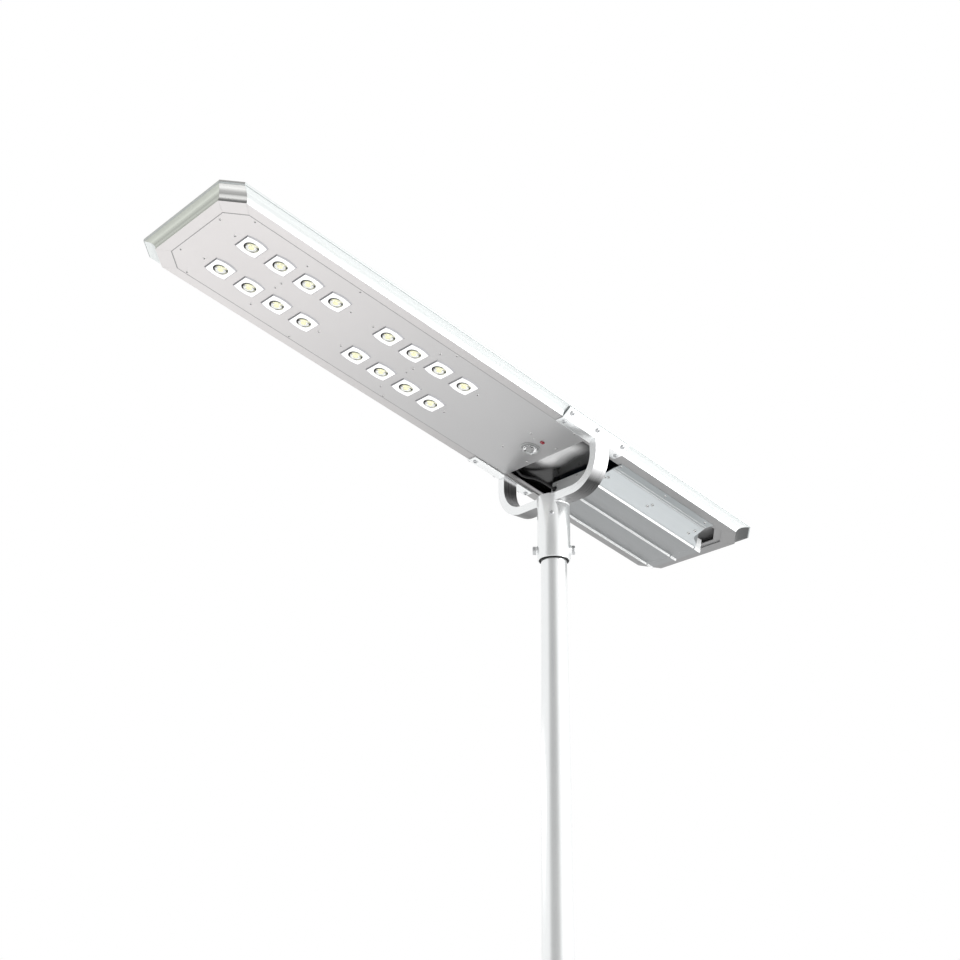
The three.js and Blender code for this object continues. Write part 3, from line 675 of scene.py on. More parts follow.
MAKERS = {
    "white_paint": lambda n, c: powder_coat(n, c.paint),
    "pole_paint": lambda n, c: powder_coat(n, c.paint),
    # The frame's flange and tongue take the same painted shade, darker still towards the battery end.
    "frame_aluminium": lambda n, c: lamp_sheet(n, c.plate_lit, shade(c.plate_shaded, 0.66), 0.45),
    # The frame's coves carry painted reflections; each stretch of the frame gets its own bands by where it
    # stands.
    "frame_side": lambda n, c: cove_painted_reflections(n, c.frame, (
        (0.05, 1.0), (0.35, 1.02), (0.5, 0.86), (0.62, 0.9), (0.75, 1.03), (0.95, 0.9))),
    "frame_bands": lambda n, c: cove_painted_reflections(n, (1.0, 1.0, 0.98), (
        (0.05, 0.25), (0.2, 0.4), (0.34, 0.95), (0.46, 0.8), (0.55, 0.4), (0.68, 0.5), (0.8, 0.95),
        (0.95, 0.4))),
    # A grey copy of the aluminium for the lip's step faces: painted shade under the lip.
    "lip_line": lambda n, c: drawn_aluminium(n, (0.55, 0.58, 0.58), 0.5, 0.5),
    "frame_tip": lambda n, c: cove_painted_reflections(n, (0.96, 1.0, 0.91), (
        (0.05, 0.5), (0.3, 0.62), (0.45, 0.48), (0.6, 0.66), (0.7, 0.82), (0.82, 0.6), (0.95, 0.42))),
    # The rear of the frame: a dark copy of the aluminium, painted shade.
    "frame_tail": lambda n, c: drawn_aluminium(n, (0.115, 0.12, 0.12)),
    "lamp_sheet": lambda n, c: lamp_sheet(n, c.plate_lit, c.plate_shaded),
    "housing_wall": lambda n, c: drawn_aluminium(n, c.wall, 0.4, 0.7),
    "housing_floor": lambda n, c: drawn_aluminium(n, c.floor, 0.36, 0.7),
    # A light copy of the housing's aluminium for the ridges and bend beads: painted highlights.
    "ridge_white": lambda n, c: drawn_aluminium(n, (0.6, 0.61, 0.61), 0.3, 0.6, 0.05),
    "end_sheet": lambda n, c: drawn_aluminium(n, (0.8, 0.81, 0.81), 0.45, 0.35, 0.2),
    "bolt_steel": lambda n, c: steel(n),
    "screw_steel": lambda n, c: steel(n, (0.75, 0.75, 0.74), 0.22),
    # Near black for the screws' cross recesses and the gap in the sleeve: painted shade.
    "dark_recess": lambda n, c: plastic(n, (0.006, 0.006, 0.006), 0.8),
    "lens_white": lambda n, c: lens_white(n),
    # Grey and dark copies of the lens for its walls: painted shade.
    "lens_edge": lambda n, c: plastic(n, (0.5, 0.5, 0.52), 0.3, 90.0, 0.3),
    "lens_tip": lambda n, c: plastic(n, (0.2, 0.2, 0.21), 0.3, 90.0, 0.3),
    "clear_lens": lambda n, c: clear_plastic(n),
    "arm_sheen": lambda n, c: arm_sheen(n),
    "reflector_ring": lambda n, c: reflector_ring(n),
    "phosphor": lambda n, c: phosphor(n, c.phosphor),
    "board_white": lambda n, c: plastic(n, (0.8, 0.8, 0.78), 0.5),
    "panel_glass": lambda n, c: clear_plastic(n, (0.95, 0.98, 0.97)),
    "solar_cell": lambda n, c: solar_cell(n, c.cell),
    "busbar": lambda n, c: steel(n, (0.7, 0.71, 0.73), 0.3),
    "panel_back": lambda n, c: panel_back(n),
    "cap_white": lambda n, c: plastic(n, (0.86, 0.87, 0.87), 0.45),
    "black_plastic": lambda n, c: plastic(n, (0.015, 0.015, 0.016), 0.35),
    "seam_grey": lambda n, c: plastic(n, (0.3, 0.3, 0.3), 0.5),
    "grey_plastic": lambda n, c: plastic(n, (0.12, 0.13, 0.135), 0.45),
    "pack_wrap": lambda n, c: plastic(n, c.wrap, 0.28, 60.0, 0.25, 0.4),
    "lead_sheath": lambda n, c: plastic(n, (0.02, 0.02, 0.021), 0.42, 1200.0, 0.2),
    "sensor_rim": lambda n, c: steel(n, (0.6, 0.61, 0.61), 0.3),
    "sensor_core": lambda n, c: plastic(n, (0.5, 0.5, 0.5), 0.3, 500.0, 0.1, 0.5),
    "button_red": lambda n, c: plastic(n, c.button, 0.25, 700.0, 0.05, 0.6),
    "stage_floor": lambda n, c: stage_floor(n, bpy.context.scene.lamp_stage.floor),
}


def finish(name):
    """The finish of that name, made the first time that it is asked for."""
    return bpy.data.materials.get("finish_" + name) or MAKERS[name](name, bpy.context.scene.lamp_finishes)


def repaint(node, finish_name):
    """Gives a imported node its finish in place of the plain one."""
    for material_slot in frame["nodes"][node].material_slots:
        material_slot.material = finish(finish_name)


def sizes(name):
    """A property group's sizes as plain numbers in millimetres."""
    group = getattr(bpy.context.scene, name)
    keys = group.bl_rna.properties.keys()
    return {key: getattr(group, key) / MM for key in keys if group.bl_rna.properties[key].type == "FLOAT"}


# ---------------------------------------------------------------- head outline


def outline(s, out):
    """The eight corners of the head's outline set out by `out` from the bottom outline,
    counterclockwise from the near side's lamp end."""
    slip = out * (1.2 if out > 0 else 0.9)
    x0, x1, y = s["front"] - out, s["rear"] + out, s["half_width"] + out
    cx0 = s["front"] + s["chamfer"] - slip
    cx1 = s["rear"] - s["chamfer"] + slip
    cy = s["half_width"] - s["chamfer"] + slip
    return np.array([[cx0, -y], [cx1, -y], [x1, -cy], [x1, cy], [cx1, y], [cx0, y], [x0, cy], [x0, -cy]])


def frame_profile(s):
    """The frame's closed profile as (out, z): a flange, a concave cove that is an arc over its
    chord, a thin lip with a rounded edge, a seat for the glass and a raised tongue."""
    foot, reach, top, sag, wall = 2.0, 17.4, 17.4, 3.6, 2.2
    seat, tongue_top = 20.3, s["sheet"] + GAP + 2.0
    chord = np.array([reach, top - foot])
    half = np.linalg.norm(chord) / 2
    r = (half**2 + sag**2) / (2 * sag)
    normal = np.array([chord[1], -chord[0]]) / (2 * half)
    centre = np.array([reach / 2, (foot + top) / 2]) + normal * (r - sag)
    start = math.degrees(math.atan2(foot - centre[1], -centre[0])) % 360
    end = math.degrees(math.atan2(top - centre[1], reach - centre[0])) % 360
    cove = arc(*centre, r, start, end, 20)
    back = arc(*centre, r + wall, start, end, 12)
    back = back[(back[:, 1] > tongue_top) & (back[:, 1] < seat - wall - 0.5)][::-1]
    flare, height = s["flare"], s["height"]
    lip = rounded([[reach, top + 0.7], [flare, top + 1.2], [flare, height], [flare - 2.6, height]],
                  0.5, 3)[4:12]
    return np.concatenate([
        [[-s["flange"], 0.0], [-0.4, 0.0]],
        arc(-0.4, 0.4, 0.4, -90, 0, 3),
        cove, [[reach, top + 0.7]], lip,
        [[flare - 2.6, height], [flare - 2.6, seat], [8.0, seat], [8.0, seat - wall]],
        back,
        [[-wall, tongue_top], [-s["tongue"], tongue_top], [-s["tongue"], s["sheet"] + GAP],
         [-s["flange"], s["sheet"] + GAP]],
    ])


def frame_stretch(s, start, end):
    """The frame's profile carried from one corner of the outline to the next, mitred there."""
    profile = frame_profile(s)
    rings = []
    for corner in (start, end):
        corners = np.stack([outline(s, out)[corner] for out in profile[:, 0]])
        rings.append(np.column_stack([corners, profile[:, 1]]))
    along = outline(s, 0)[end] - outline(s, 0)[start]
    along = np.append(along / np.linalg.norm(along) * JOINT_GAP, 0.0)
    return np.stack([rings[0] + along, rings[1] - along])


# ---------------------------------------------------------------- fasteners


def screw_shell(centres, radius=2.6, height=1.5, direction=(0, 0, -1), shell=None):
    """Pan-head screws with a cross recess: a domed head, radius times sqrt(1 - t^2) high,
    with two crossed slots laid into its crown, one copy at each centre."""
    shell = shell or Shell()
    t = np.linspace(0, 1, 6)
    profile = np.column_stack([radius * np.cos(t * math.pi / 2) ** 0.6, height * t])
    profile = np.vstack([[radius, -0.6], profile])
    dome = turned(profile, 14)
    matrix = turn_matrix(direction)
    slot_high = height + 0.06
    slots = [bar_z(rectangle(0, 0, *pair), slot_high - 0.3, slot_high)
             for pair in ((radius * 1.1, radius * 0.26), (radius * 0.26, radius * 1.1))]
    for centre in centres:
        shell.fan(dome @ matrix.T + centre)
        for cross in slots:
            # The crossed slots take the second finish, painted shade of the recess.
            shell.solid(cross @ matrix.T + centre, slot=1)
    return shell


def socket_bolt(radius, height, shank, shank_length):
    """A button-head bolt, seat at z = 0 and head below: a rounded crown with a hexagonal
    socket sunk into it, then the shank above."""
    steps, depth = 36, height * 0.45
    a = np.arange(steps) * (2 * math.pi / steps)
    flat = radius * 0.5 * math.cos(math.pi / 6)
    hex_r = flat / np.cos((a + math.pi / 6) % (math.pi / 3) - math.pi / 6)
    crown = arc(0, 0, 1.0, -58, 0, 7)
    rings = [np.stack([hex_r * np.cos(a), hex_r * np.sin(a), np.full(steps, z)], -1)
             for z in (-depth, -height)]
    profile = np.column_stack([radius * crown[:, 0] / crown[-1, 0],
                               height * 0.92 * crown[:, 1] / -crown[0, 1]])
    profile = np.vstack([[radius * 0.56, -height], profile,
                         [radius, 0.0], [shank, 0.0], [shank, shank_length]])
    outer = turned(profile, steps)
    centre = np.zeros((1, steps, 3)) + (0, 0, -depth)
    return Shell().fan(np.concatenate([outer[::-1], rings[::-1], centre]))


def hexagon(flats, low, high, chamfer=0.0):
    """A six-sided prism whose corners are cut back by a cone at its outer end: the radius is
    half the flats over the cosine of the angle from the nearest flat's middle."""
    a = np.arange(48) * (2 * math.pi / 48)
    edge = flats / 2 / np.cos((a + math.pi / 6) % (math.pi / 3) - math.pi / 6)
    rows = []
    for z, limit in ((low, flats), (high - chamfer * 1.2, flats), (high - chamfer * 0.6, flats * 0.545),
                     (high, flats * 0.48)):
        r = np.minimum(edge, limit)
        rows.append(np.stack([r * np.cos(a), r * np.sin(a), np.full(48, z)], -1))
    return np.stack(rows)


def catmull(points, steps):
    """A smooth line through the points: the cubic whose slope at each point is half the
    difference of its neighbours."""
    p = np.asarray(points, float)
    p = np.vstack([2 * p[0] - p[1], p, 2 * p[-1] - p[-2]])
    t = np.linspace(0, 1, steps, endpoint=False)[None, :, None]
    a, b, c, d = (p[i:len(p) - 3 + i][:, None] for i in range(4))
    curve = b + 0.5 * t * (c - a + t * (2 * a - 5 * b + 4 * c - d + t * (3 * (b - c) + d - a)))
    return np.vstack([curve.reshape(-1, 3), p[-2]])


def tube(path, radius, sides=12):
    """A round section carried along a path, each ring square to the path; the radius may
    change from point to point."""
    path = np.asarray(path, float)
    ahead = np.gradient(path, axis=0)
    ahead /= np.linalg.norm(ahead, axis=1)[:, None]
    guide = np.where(np.abs(ahead[:, 2:]) > 0.95, (1.0, 0.0, 0.0), (0.0, 0.0, 1.0))
    side = np.cross(guide, ahead)
    side /= np.linalg.norm(side, axis=1)[:, None]
    up = np.cross(ahead, side)
    a = np.arange(sides) * (2 * math.pi / sides)
    ring = side[:, None] * np.cos(a)[:, None] + up[:, None] * np.sin(a)[:, None]
    return path[:, None] + ring * np.broadcast_to(radius, len(path))[:, None, None]


# ---------------------------------------------------------------- operators


def area_light(name, place_metres, target, size, power):
    """A soft square light aimed at a target, kept out of the camera's sight."""
    data = bpy.data.lights.new(name, "AREA")
    data.energy, data.size = power, size
    light = bpy.data.objects.new(name, data)
    light.location = place_metres
    light.rotation_euler = (Vector(target) - Vector(place_metres)).to_track_quat("-Z", "Y").to_euler()
    light.visible_camera = False
    bpy.context.scene.collection.objects.link(light)


CAMERA_LENS, CAMERA_SENSOR = 59.01, 36.0
CAMERA_PLACE = (-2.13813, -2.27469, 0.17284)
CAMERA_TURN = (-40.349, -22.422, 0.489)  # azimuth, elevation and roll in degrees
FLOOR_REACH, FLOOR_STEPS = 14.0, 25


class BuildStage(bpy.types.Operator):
    """Set the camera, the plain floor and the soft light"""

    bl_idname = "street_lamp.build_stage"
    bl_label = "Stage"

    def execute(self, context):
        scene = context.scene
        data = bpy.data.cameras.new("camera")
        data.lens, data.sensor_width = CAMERA_LENS, CAMERA_SENSOR
        camera = bpy.data.objects.new("camera", data)
        azimuth, elevation, roll = (math.radians(v) for v in CAMERA_TURN)
        forward = Vector((-math.sin(azimuth) * math.cos(elevation),
                          math.cos(azimuth) * math.cos(elevation), -math.sin(elevation)))
        level = Vector((math.cos(azimuth), math.sin(azimuth), 0.0))
        over = level.cross(forward)
        right = math.cos(roll) * level + math.sin(roll) * over
        up = math.cos(roll) * over - math.sin(roll) * level
        camera.matrix_world = Matrix.Translation(CAMERA_PLACE) @ \
            Matrix((right, up, -forward)).transposed().to_4x4()
        scene.collection.objects.link(camera)
        scene.camera = camera

        scene.view_settings.view_transform = "Standard"
        world = bpy.data.worlds.new("studio")
        scene.world = world
        world.use_nodes = True
        self.light_world(world.node_tree, scene.lamp_stage.light)
        area_light("front_light", (1.6, -3.4, 1.5), (-0.2, 0.0, 1.5), 2.6, 85.0)
        area_light("floor_light", (-0.7, 1.7, 1.1), (-0.7, 1.7, 0.0), 1.6, 7.0)

        u = np.linspace(-FLOOR_REACH, FLOOR_REACH, FLOOR_STEPS)
        ground = np.stack([*np.meshgrid(u, u), np.zeros((FLOOR_STEPS, FLOOR_STEPS))], -1)
        mesh = bpy.data.meshes.new("floor")
        mesh.from_pydata(ground.reshape(-1, 3).tolist(), [], grid_faces(FLOOR_STEPS, FLOOR_STEPS))
        mesh.materials.append(finish("stage_floor"))
        floor = bpy.data.objects.new("floor", mesh)
        scene.collection.objects.link(floor)
        return {"FINISHED"}

    @staticmethod
    def light_world(tree, strength):
        """White to the camera; for light, bright all round with one dark side."""
        tree.nodes.clear()
        new, link = tree.nodes.new, tree.links.new
        out, mix, path = new("ShaderNodeOutputWorld"), new("ShaderNodeMixShader"), new("ShaderNodeLightPath")
        seen, cast = new("ShaderNodeBackground"), new("ShaderNodeBackground")
        seen.inputs["Color"].default_value = (1.0, 1.0, 1.0, 1.0)
        seen.inputs["Strength"].default_value = 1.0
        coordinate, dot = new("ShaderNodeTexCoord"), new("ShaderNodeVectorMath")
        ramp = new("ShaderNodeMapRange")
        dot.operation = "DOT_PRODUCT"
        dot.inputs[1].default_value = (-0.86, -0.5, 0.05)
        ramp.interpolation_type = "SMOOTHSTEP"
        for key, value in (("From Min", 0.66), ("From Max", 0.98), ("To Min", 1.16), ("To Max", 0.44)):
            ramp.inputs[key].default_value = value * (strength if key.startswith("To") else 1.0)
        link(coordinate.outputs["Generated"], dot.inputs[0])
        link(dot.outputs["Value"], ramp.inputs["Value"])
        link(ramp.outputs[0], cast.inputs["Strength"])
        link(path.outputs["Is Camera Ray"], mix.inputs[0])
        link(cast.outputs[0], mix.inputs[1])
        link(seen.outputs[0], mix.inputs[2])
        link(mix.outputs[0], out.inputs["Surface"])


# Which stretches of the frame take which copy of painted reflection or painted shade on their cove.
COVE_PAINTED_LIGHT = {"rail_front": "frame_tip", "corner_near_front": "frame_bands",
                 "corner_near_rear": "frame_tail", "rail_rear": "frame_tail", "corner_far_rear": "frame_tail"}


class BuildFrame(bpy.types.Operator):
    """Build the frame's rails and corner pieces"""

    bl_idname = "street_lamp.build_frame"
    bl_label = "Frame"

    def execute(self, context):
        s = sizes("lamp_head")
        for index, name in enumerate(("rail_near", "corner_near_rear", "rail_rear", "corner_far_rear",
                                      "rail_far", "corner_far_front", "rail_front", "corner_near_front")):
            profile = frame_profile(s)
            ahead = np.roll(profile, -1, 0)
            slot = np.where(np.minimum(profile[:, 0], ahead[:, 0]) > -0.5, 1, 0)
            lip = (np.minimum(profile[:, 1], ahead[:, 1]) > 17.5) & (ahead[:, 0] > 17.0)
            # The lip's step faces take the third finish, painted shade.
            slot[lip & (ahead[:, 1] < 19.4)] = 2
            shell = Shell().grid(frame_stretch(s, index, (index + 1) % 8), wrap_columns=True,
                                 caps="first last", slot=np.append(slot, (0, 0)))
            side = COVE_PAINTED_LIGHT.get(name, "frame_side")
            build("head_" + name, shell,
                  ["frame_aluminium", side, "lip_line"], ["frame_" + name], sharp=24)
        return {"FINISHED"}


class BuildPanel(bpy.types.Operator):
    """Build the solar cells and finish the panel's glass and back"""

    bl_idname = "street_lamp.build_panel"
    bl_label = "Solar panel"

    def execute(self, context):
        s = sizes("lamp_head")
        repaint("solar_glass", "panel_glass")
        repaint("solar_laminate", "panel_back")
        repaint("junction_box", "black_plastic")
        cut, glass_under, first = 20.0, 20.36, -954.5
        pitch, row_pitch = s["cell"] + 1.8, s["cell"] + 1.0
        z = np.array([glass_under, glass_under + 0.1, glass_under + 0.2])
        octagon = rounded(rectangle(0, 0, s["cell"], s["cell"]), cut, 1)
        cells, bars = Shell(), Shell()
        for i in range(9):
            for j in (-0.5, 0.5):
                centre = np.array([first + (i + 0.5) * pitch, j * row_pitch])
                cells.solid(bar_z(octagon + centre, *z[:2]))
                for bar in (-52, 0, 52):
                    strip = rectangle(*(centre + (0, bar)), row_pitch, 1.4)
                    bars.solid(bar_z(strip, *z[1:]))
        build("solar_cells", cells, ["solar_cell"])
        build("cell_busbars", bars, ["busbar"])
        return {"FINISHED"}


def lens_outline(s, cx, cy, grow, bulge=0.0):
    """Straight ends across and long sides bowed by a parabola."""
    half = s["lens_half_length"] + grow
    u = np.linspace(-1, 1, 11)
    y = s["lens_half_width"] + grow + (s["lens_bulge"] + bulge) * (1 - u * u)
    near = np.column_stack([cx + u * half, cy - y])
    far = np.column_stack([cx - u * half, cy + y])
    return np.vstack([near, far])


class BuildLampPlate(bpy.types.Operator):
    """Finish the lamp plate and set its screws"""

    bl_idname = "street_lamp.build_lamp_plate"
    bl_label = "Lamp plate"

    def execute(self, context):
        s = sizes("lamp_head")
        repaint("lamp_plate", "lamp_sheet")
        repaint("lamp_bulkhead", "end_sheet")
        repaint("charge_controller", "grey_plastic")
        for row in ("front_near", "front_far", "rear_near", "rear_far"):
            repaint("led_board_" + row, "board_white")
        # A thin grey ribbon round the lamp plate's edge: painted shade of the gap between the plate and the
        # frame.
        seam = []
        for out, z in ((-23.4, -0.12), (-25.0, -0.12), (-25.0, 0.4), (-23.4, 0.4)):
            corners = outline(s, out)[[0, 7, 6, 5]]
            line = np.vstack([[s["plate_end"], corners[0, 1]], corners, [s["plate_end"], corners[3, 1]]])
            seam.append(np.column_stack([line, np.full(6, z)]))
        seam = np.stack(seam, 1)
        build("plate_seam", Shell().solid(seam),
              ["seam_grey"])
        places = [(x, y) for x, y in ((-919.5, 70), (-874, 120), (-627, 120), (-381, 121), (-54, 122),
                                      (-107, 45), (-34.6, 46))]
        for middle in LENS_GROUPS:
            places += [(middle - 138, 54), (middle + 138, 54), (middle, 10.7), (middle, 97.3)]
        centres = [(x, side * y, 0.0) for x, y in places for side in (-1, 1)]
        build("plate_screws", screw_shell(centres, 2.9, 1.3),
              ["screw_steel", "dark_recess"])
        small = [(-90, -35.5, 0.0), (-77.5, 15.7, -2.2), (-49, 17.7, 0.0)]
        build("plate_rivets", screw_shell(small, 1.4, 0.8),
              ["screw_steel", "dark_recess"])
        return {"FINISHED"}


class BuildLenses(bpy.types.Operator):
    """Build the sixteen lenses with their domes, rings and light sources"""

    bl_idname = "street_lamp.build_lenses"
    bl_label = "Lenses"

    def execute(self, context):
        s = sizes("lamp_head")
        for group, middle in enumerate(LENS_GROUPS):
            for label, side in SIDES:
                row = ("rear_" if group else "front_") + label
                for i in range(4):
                    x, y = middle + (i - 1.5) * s["lens_pitch"], side * s["lens_row"]
                    self.make_lens(s, f"{row}_{i + 1}", x, y)
        return {"FINISHED"}

    @staticmethod
    def make_lens(s, name, x, y):
        """One lens: a cover of bowed outlines, a ring turned round, and a dome and a light source
        that are quarter ellipses (a cos t, b sin t) turned round."""
        t = np.linspace(0, math.pi / 2, 9)
        rows = ((-GAP, 2.3 + GAP, 0.0), (-GAP, 0.2, 0.0), (-GAP - 0.15, 0.0, 3.2), (-GAP - 1.9, -1.85, 1.535),
                (-GAP - 2.2, -2.0, 1.4))
        rings = []
        for grow, z, bulge in rows:
            flat = lens_outline(s, x, y, grow, bulge)
            rings.append(np.column_stack([flat, np.full(len(flat), z)]))
        # The cover's walls below the plate take painted shade, darkest along the end towards the lamp end.
        slots = np.zeros((len(rows) - 1, len(flat)), int)
        slots[1:] = 1
        slots[1:, -1] = 2
        cover = Shell().solid(np.stack(rings),
                             slot=np.append(slots, (0, 0)))
        build("lens_cover_" + name, cover,
              ["lens_white", "lens_edge", "lens_tip"], ["lens_" + name], sharp=30)
        ring = turned([(14.9, -1.9), (14.9, -2.2), (13.4, -2.5), (11.9, -2.5), (11.4, -2.2), (11.4, -1.9)],
                      48, (x, y))
        angles = np.tile(np.arange(48) / 48.0, 6)
        # The turn attribute places the ring's painted reflections.
        build("lens_ring_" + name, Shell().ring(ring),
              ["reflector_ring"], angles=angles)
        light = Shell().fan(turned(np.column_stack([5.6 * np.cos(t), -2.05 - 1.3 * np.sin(t)]), 24, (x, y)))
        build("light_source_" + name, light, ["phosphor"])
        dome = turned(np.column_stack([11.3 * np.cos(t), -2.1 - 2.6 * np.sin(t)]), 36, (x, y))
        build("lens_dome_" + name, Shell().fan(dome), ["clear_lens"])


class BuildSensor(bpy.types.Operator):
    """Build the motion sensor and the push button"""

    bl_idname = "street_lamp.build_sensor"
    bl_label = "Sensor and button"

    def execute(self, context):
        x = sizes("lamp_head")["sensor_x"]
        rim = turned([(11, 5.7), (11, -0.3), (21.2, -0.3), (21.5, -0.7), (21.5, -1.8), (21.0, -2.2),
                      (16.0, -2.2), (15.4, -1.8), (15.3, -0.8), (8.0, -0.8), (8.0, 5.7)], 64, (x, 0))
        build("sensor_ring", Shell().ring(rim),
              ["sensor_rim"], ["sensor_base"])
        t = np.linspace(0, math.pi / 2, 13)
        dome = turned(np.column_stack([15.0 * np.cos(t), -2.2 - 9.3 * np.sin(t)]), 48, (x, 0))
        neck = turned([(15.0, -1.1)], 48, (x, 0))
        build("sensor_lens", Shell().fan(np.concatenate([neck, dome])),
              ["clear_lens"], ["sensor_dome"])
        core = turned(np.column_stack([7.0 * np.cos(t), -1.2 - 5.0 * np.sin(t)]), 24, (x, 0))
        build("sensor_cell", Shell().fan(core), ["sensor_core"])
        middle = BUTTON_PLACE
        corners = rounded(rectangle(*middle, 9.0, 6.5), 1.2, 4)
        skirt = rounded(rectangle(*middle, 13.0, 10.5), 1.2, 4)
        rows = [(corners, 5.0), (corners, 3.5), (skirt, 3.5), (skirt, 2.3), (corners, 2.3), (corners, -1.9),
                ((corners - middle) * 0.95 + middle, -2.3), ((corners - middle) * 0.84 + middle, -2.4)]
        cap = np.stack([np.column_stack([ring, np.full(len(ring), z)]) for ring, z in rows])
        build("button_cap", Shell().solid(cap), ["button_red"], ["push_button"],
              body="push_button")
        return {"FINISHED"}


def housing_shell(s):
    """The folded sheet: a closed section in (y, z) with rounded bends, run from a front edge to
    a rear edge that both depend on height, where the walls are notched and cut on a slant."""
    sheet, shoulder, half, drop = 2.0, s["shoulder"], s["floor_half"], s["floor_drop"]
    rise = np.linspace(0, 1, 15)
    wall = np.column_stack([-shoulder + (shoulder - half) * rise, drop * rise])
    outer = np.vstack([[-s["flange_reach"], 0.0], [-shoulder - 2.2, 0.0], [-shoulder - 0.6, -0.35],
                       wall[1:-1], [-half - 0.4, drop + 0.7], [-half + 1.0, drop + 0.05],
                       [-half + 2.2, drop]])
    outer = np.vstack([outer, outer[::-1] * (-1, 1)])
    inner_wall = np.column_stack([-shoulder + 2.4 + (shoulder - half - 1.0) * rise, sheet + drop * rise])
    inner = np.vstack([[-s["flange_reach"], sheet], [-shoulder + 1.0, sheet], inner_wall[1:]])
    inner = np.vstack([inner, inner[::-1] * (-1, 1)])
    section = np.vstack([outer, inner[::-1]])
    z = section[:, 1]
    first = np.interp(z, [drop, -20, -18, 0, 2], [s["front"], s["front"], s["front"] + 2.3, 86.0, 86.0])
    last = np.interp(z, [drop, -33, -25, 0, 2], [s["rear"], s["rear"], 363.0, s["rear"] - 2.6, s["rear"] - 2])
    rows = np.linspace(0, 1, 5)[:, None]
    x = first + (last - first) * rows
    return np.stack([x, np.tile(section[:, 0], (5, 1)), np.tile(z, (5, 1))], -1)


def ridge_section(y, drop, height):
    """A bottom ridge: a rounded crown that runs out into the floor on small fillets."""
    u = np.linspace(-1, 1, 17)
    swell = 0.5 + 0.5 * np.cos(np.clip(np.abs(u) * 1.25 - 0.2, 0, 1) * math.pi)
    low = np.column_stack([y + 2.3 * u, drop - 0.02 - height * swell])
    return np.vstack([low, [[y + 2.3, drop + 1.0], [y - 2.3, drop + 1.0]]])


class BuildHousing(bpy.types.Operator):
    """Build the battery housing, its end cap, plates and screws"""

    bl_idname = "street_lamp.build_housing"
    bl_label = "Battery housing"

    def execute(self, context):
        s = sizes("lamp_housing")
        half, drop = s["floor_half"], s["floor_drop"]
        shell = Shell().solid(housing_shell(s))
        build("housing_shell", shell, ["housing_wall"],
              ["battery_housing"], sharp=40)
        band = Shell()
        for low, high in ((-half + 3.4, -3.4), (3.4, half - 3.4)):
            outline_yz = [[low, drop], [low + 0.4, drop - 0.25], [high - 0.4, drop - 0.25], [high, drop]]
            band.solid(bar_x(outline_yz, s["front"] + 0.5, s["rear"] - 0.5))
        build("housing_floor_bands", band, ["housing_floor"])
        ribs = Shell()
        tips = Shell()
        for y in (-half, 0.0, half):
            ribs.solid(bar_x(ridge_section(y, drop, s["ridge"]), s["front"], s["rear"] - 4.0))
            tips.solid(bar_x(ridge_section(y, drop, s["ridge"]), s["rear"] + GAP, s["cap_rear"]))
        # The ridges' light tone is a painted highlight along their crowns.
        build("housing_ridges", ribs, ["ridge_white"], sharp=60)
        # Two thin light beads along each bend of wall and flange: painted highlights of the bends.
        beads = Shell()
        for y, z, r in ((-s["shoulder"] - 4.2, 0.0, 0.8), (-s["shoulder"] + 1.0, -2.4, 0.9)):
            beads.solid(bar_x(arc(y, z, r, 0, 330, 11), 87.0, s["rear"] - 5))
        build("housing_beads_near", beads, ["ridge_white"])
        build("housing_beads_far", mirrored(beads), ["ridge_white"])
        self.make_cap(s, tips)
        closing = Shell().solid(bar_x(rounded([[-60, -34], [60, -34], [60, 16], [-60, 16]], 5.0),
                                     s["rear"] - 4, s["rear"] - 2.5))
        build("housing_closing_plate", closing, ["seam_grey"])
        repaint("housing_end_plate", "end_sheet")
        self.make_screws(s)
        return {"FINISHED"}

    @staticmethod
    def make_cap(s, shell):
        """A tray whose near and far walls wave in by a cosine, four grooves to a wall."""
        front, rear = s["rear"] + GAP, s["cap_rear"]
        half, drop, top = s["cap_half"], s["floor_drop"], s["cap_top"]
        x = np.linspace(front, rear, 45)
        groove = 1.0 * (0.5 - 0.5 * np.cos(np.clip((x - front - 2) / (rear - front - 4), 0, 1) * 8 * math.pi))
        near = np.column_stack([x, -half + groove])
        outside = np.vstack([near, near[::-1] * (1, -1)])
        wall = 2.5
        inside_x = np.clip(outside[:, 0], front, rear - wall)
        inside = np.column_stack([inside_x, np.sign(outside[:, 1]) * (half - wall)])
        rows = [(outside, drop), (outside, top - 0.4), (outside * (1, 0.997), top), (inside, top),
                (inside, drop + wall)]
        rings = np.stack([np.column_stack([flat, np.full(len(flat), z)]) for flat, z in rows])
        shell.solid(rings, cap_slot=1)
        build("housing_cap", shell,
              ["cap_white", "housing_floor"], ["housing_end_cap"], sharp=40)

    @staticmethod
    def make_screws(s):
        """The flange's screws, those square to the slanted walls and two on the end plate."""
        flange = [(x, side * 117.0, 0.0) for x in (91.0, 229.0, 358.0) for side in (-1, 1)]
        shell = screw_shell(flange, 3.0, 1.6)
        run, drop = s["shoulder"] - s["floor_half"], -s["floor_drop"]
        fall = math.hypot(run, drop)
        places = ((77.5, -22.6), (86, -18.7), (212, -23.7), (222, -17.2), (345, -23.8), (357, -14.2))
        for side in (-1, 1):
            spots = [(x, side * (s["shoulder"] + z * run / drop), z) for x, z in places]
            screw_shell(spots, 3.4, 2.6, (0.0, side * drop / fall, -run / fall), shell)
        screw_shell([(67.9, -5.0, 4.0), (67.9, 60.0, 4.0)], 2.6, 1.6, (-1, 0, 0), shell)
        build("housing_screws", shell, ["screw_steel", "dark_recess"])


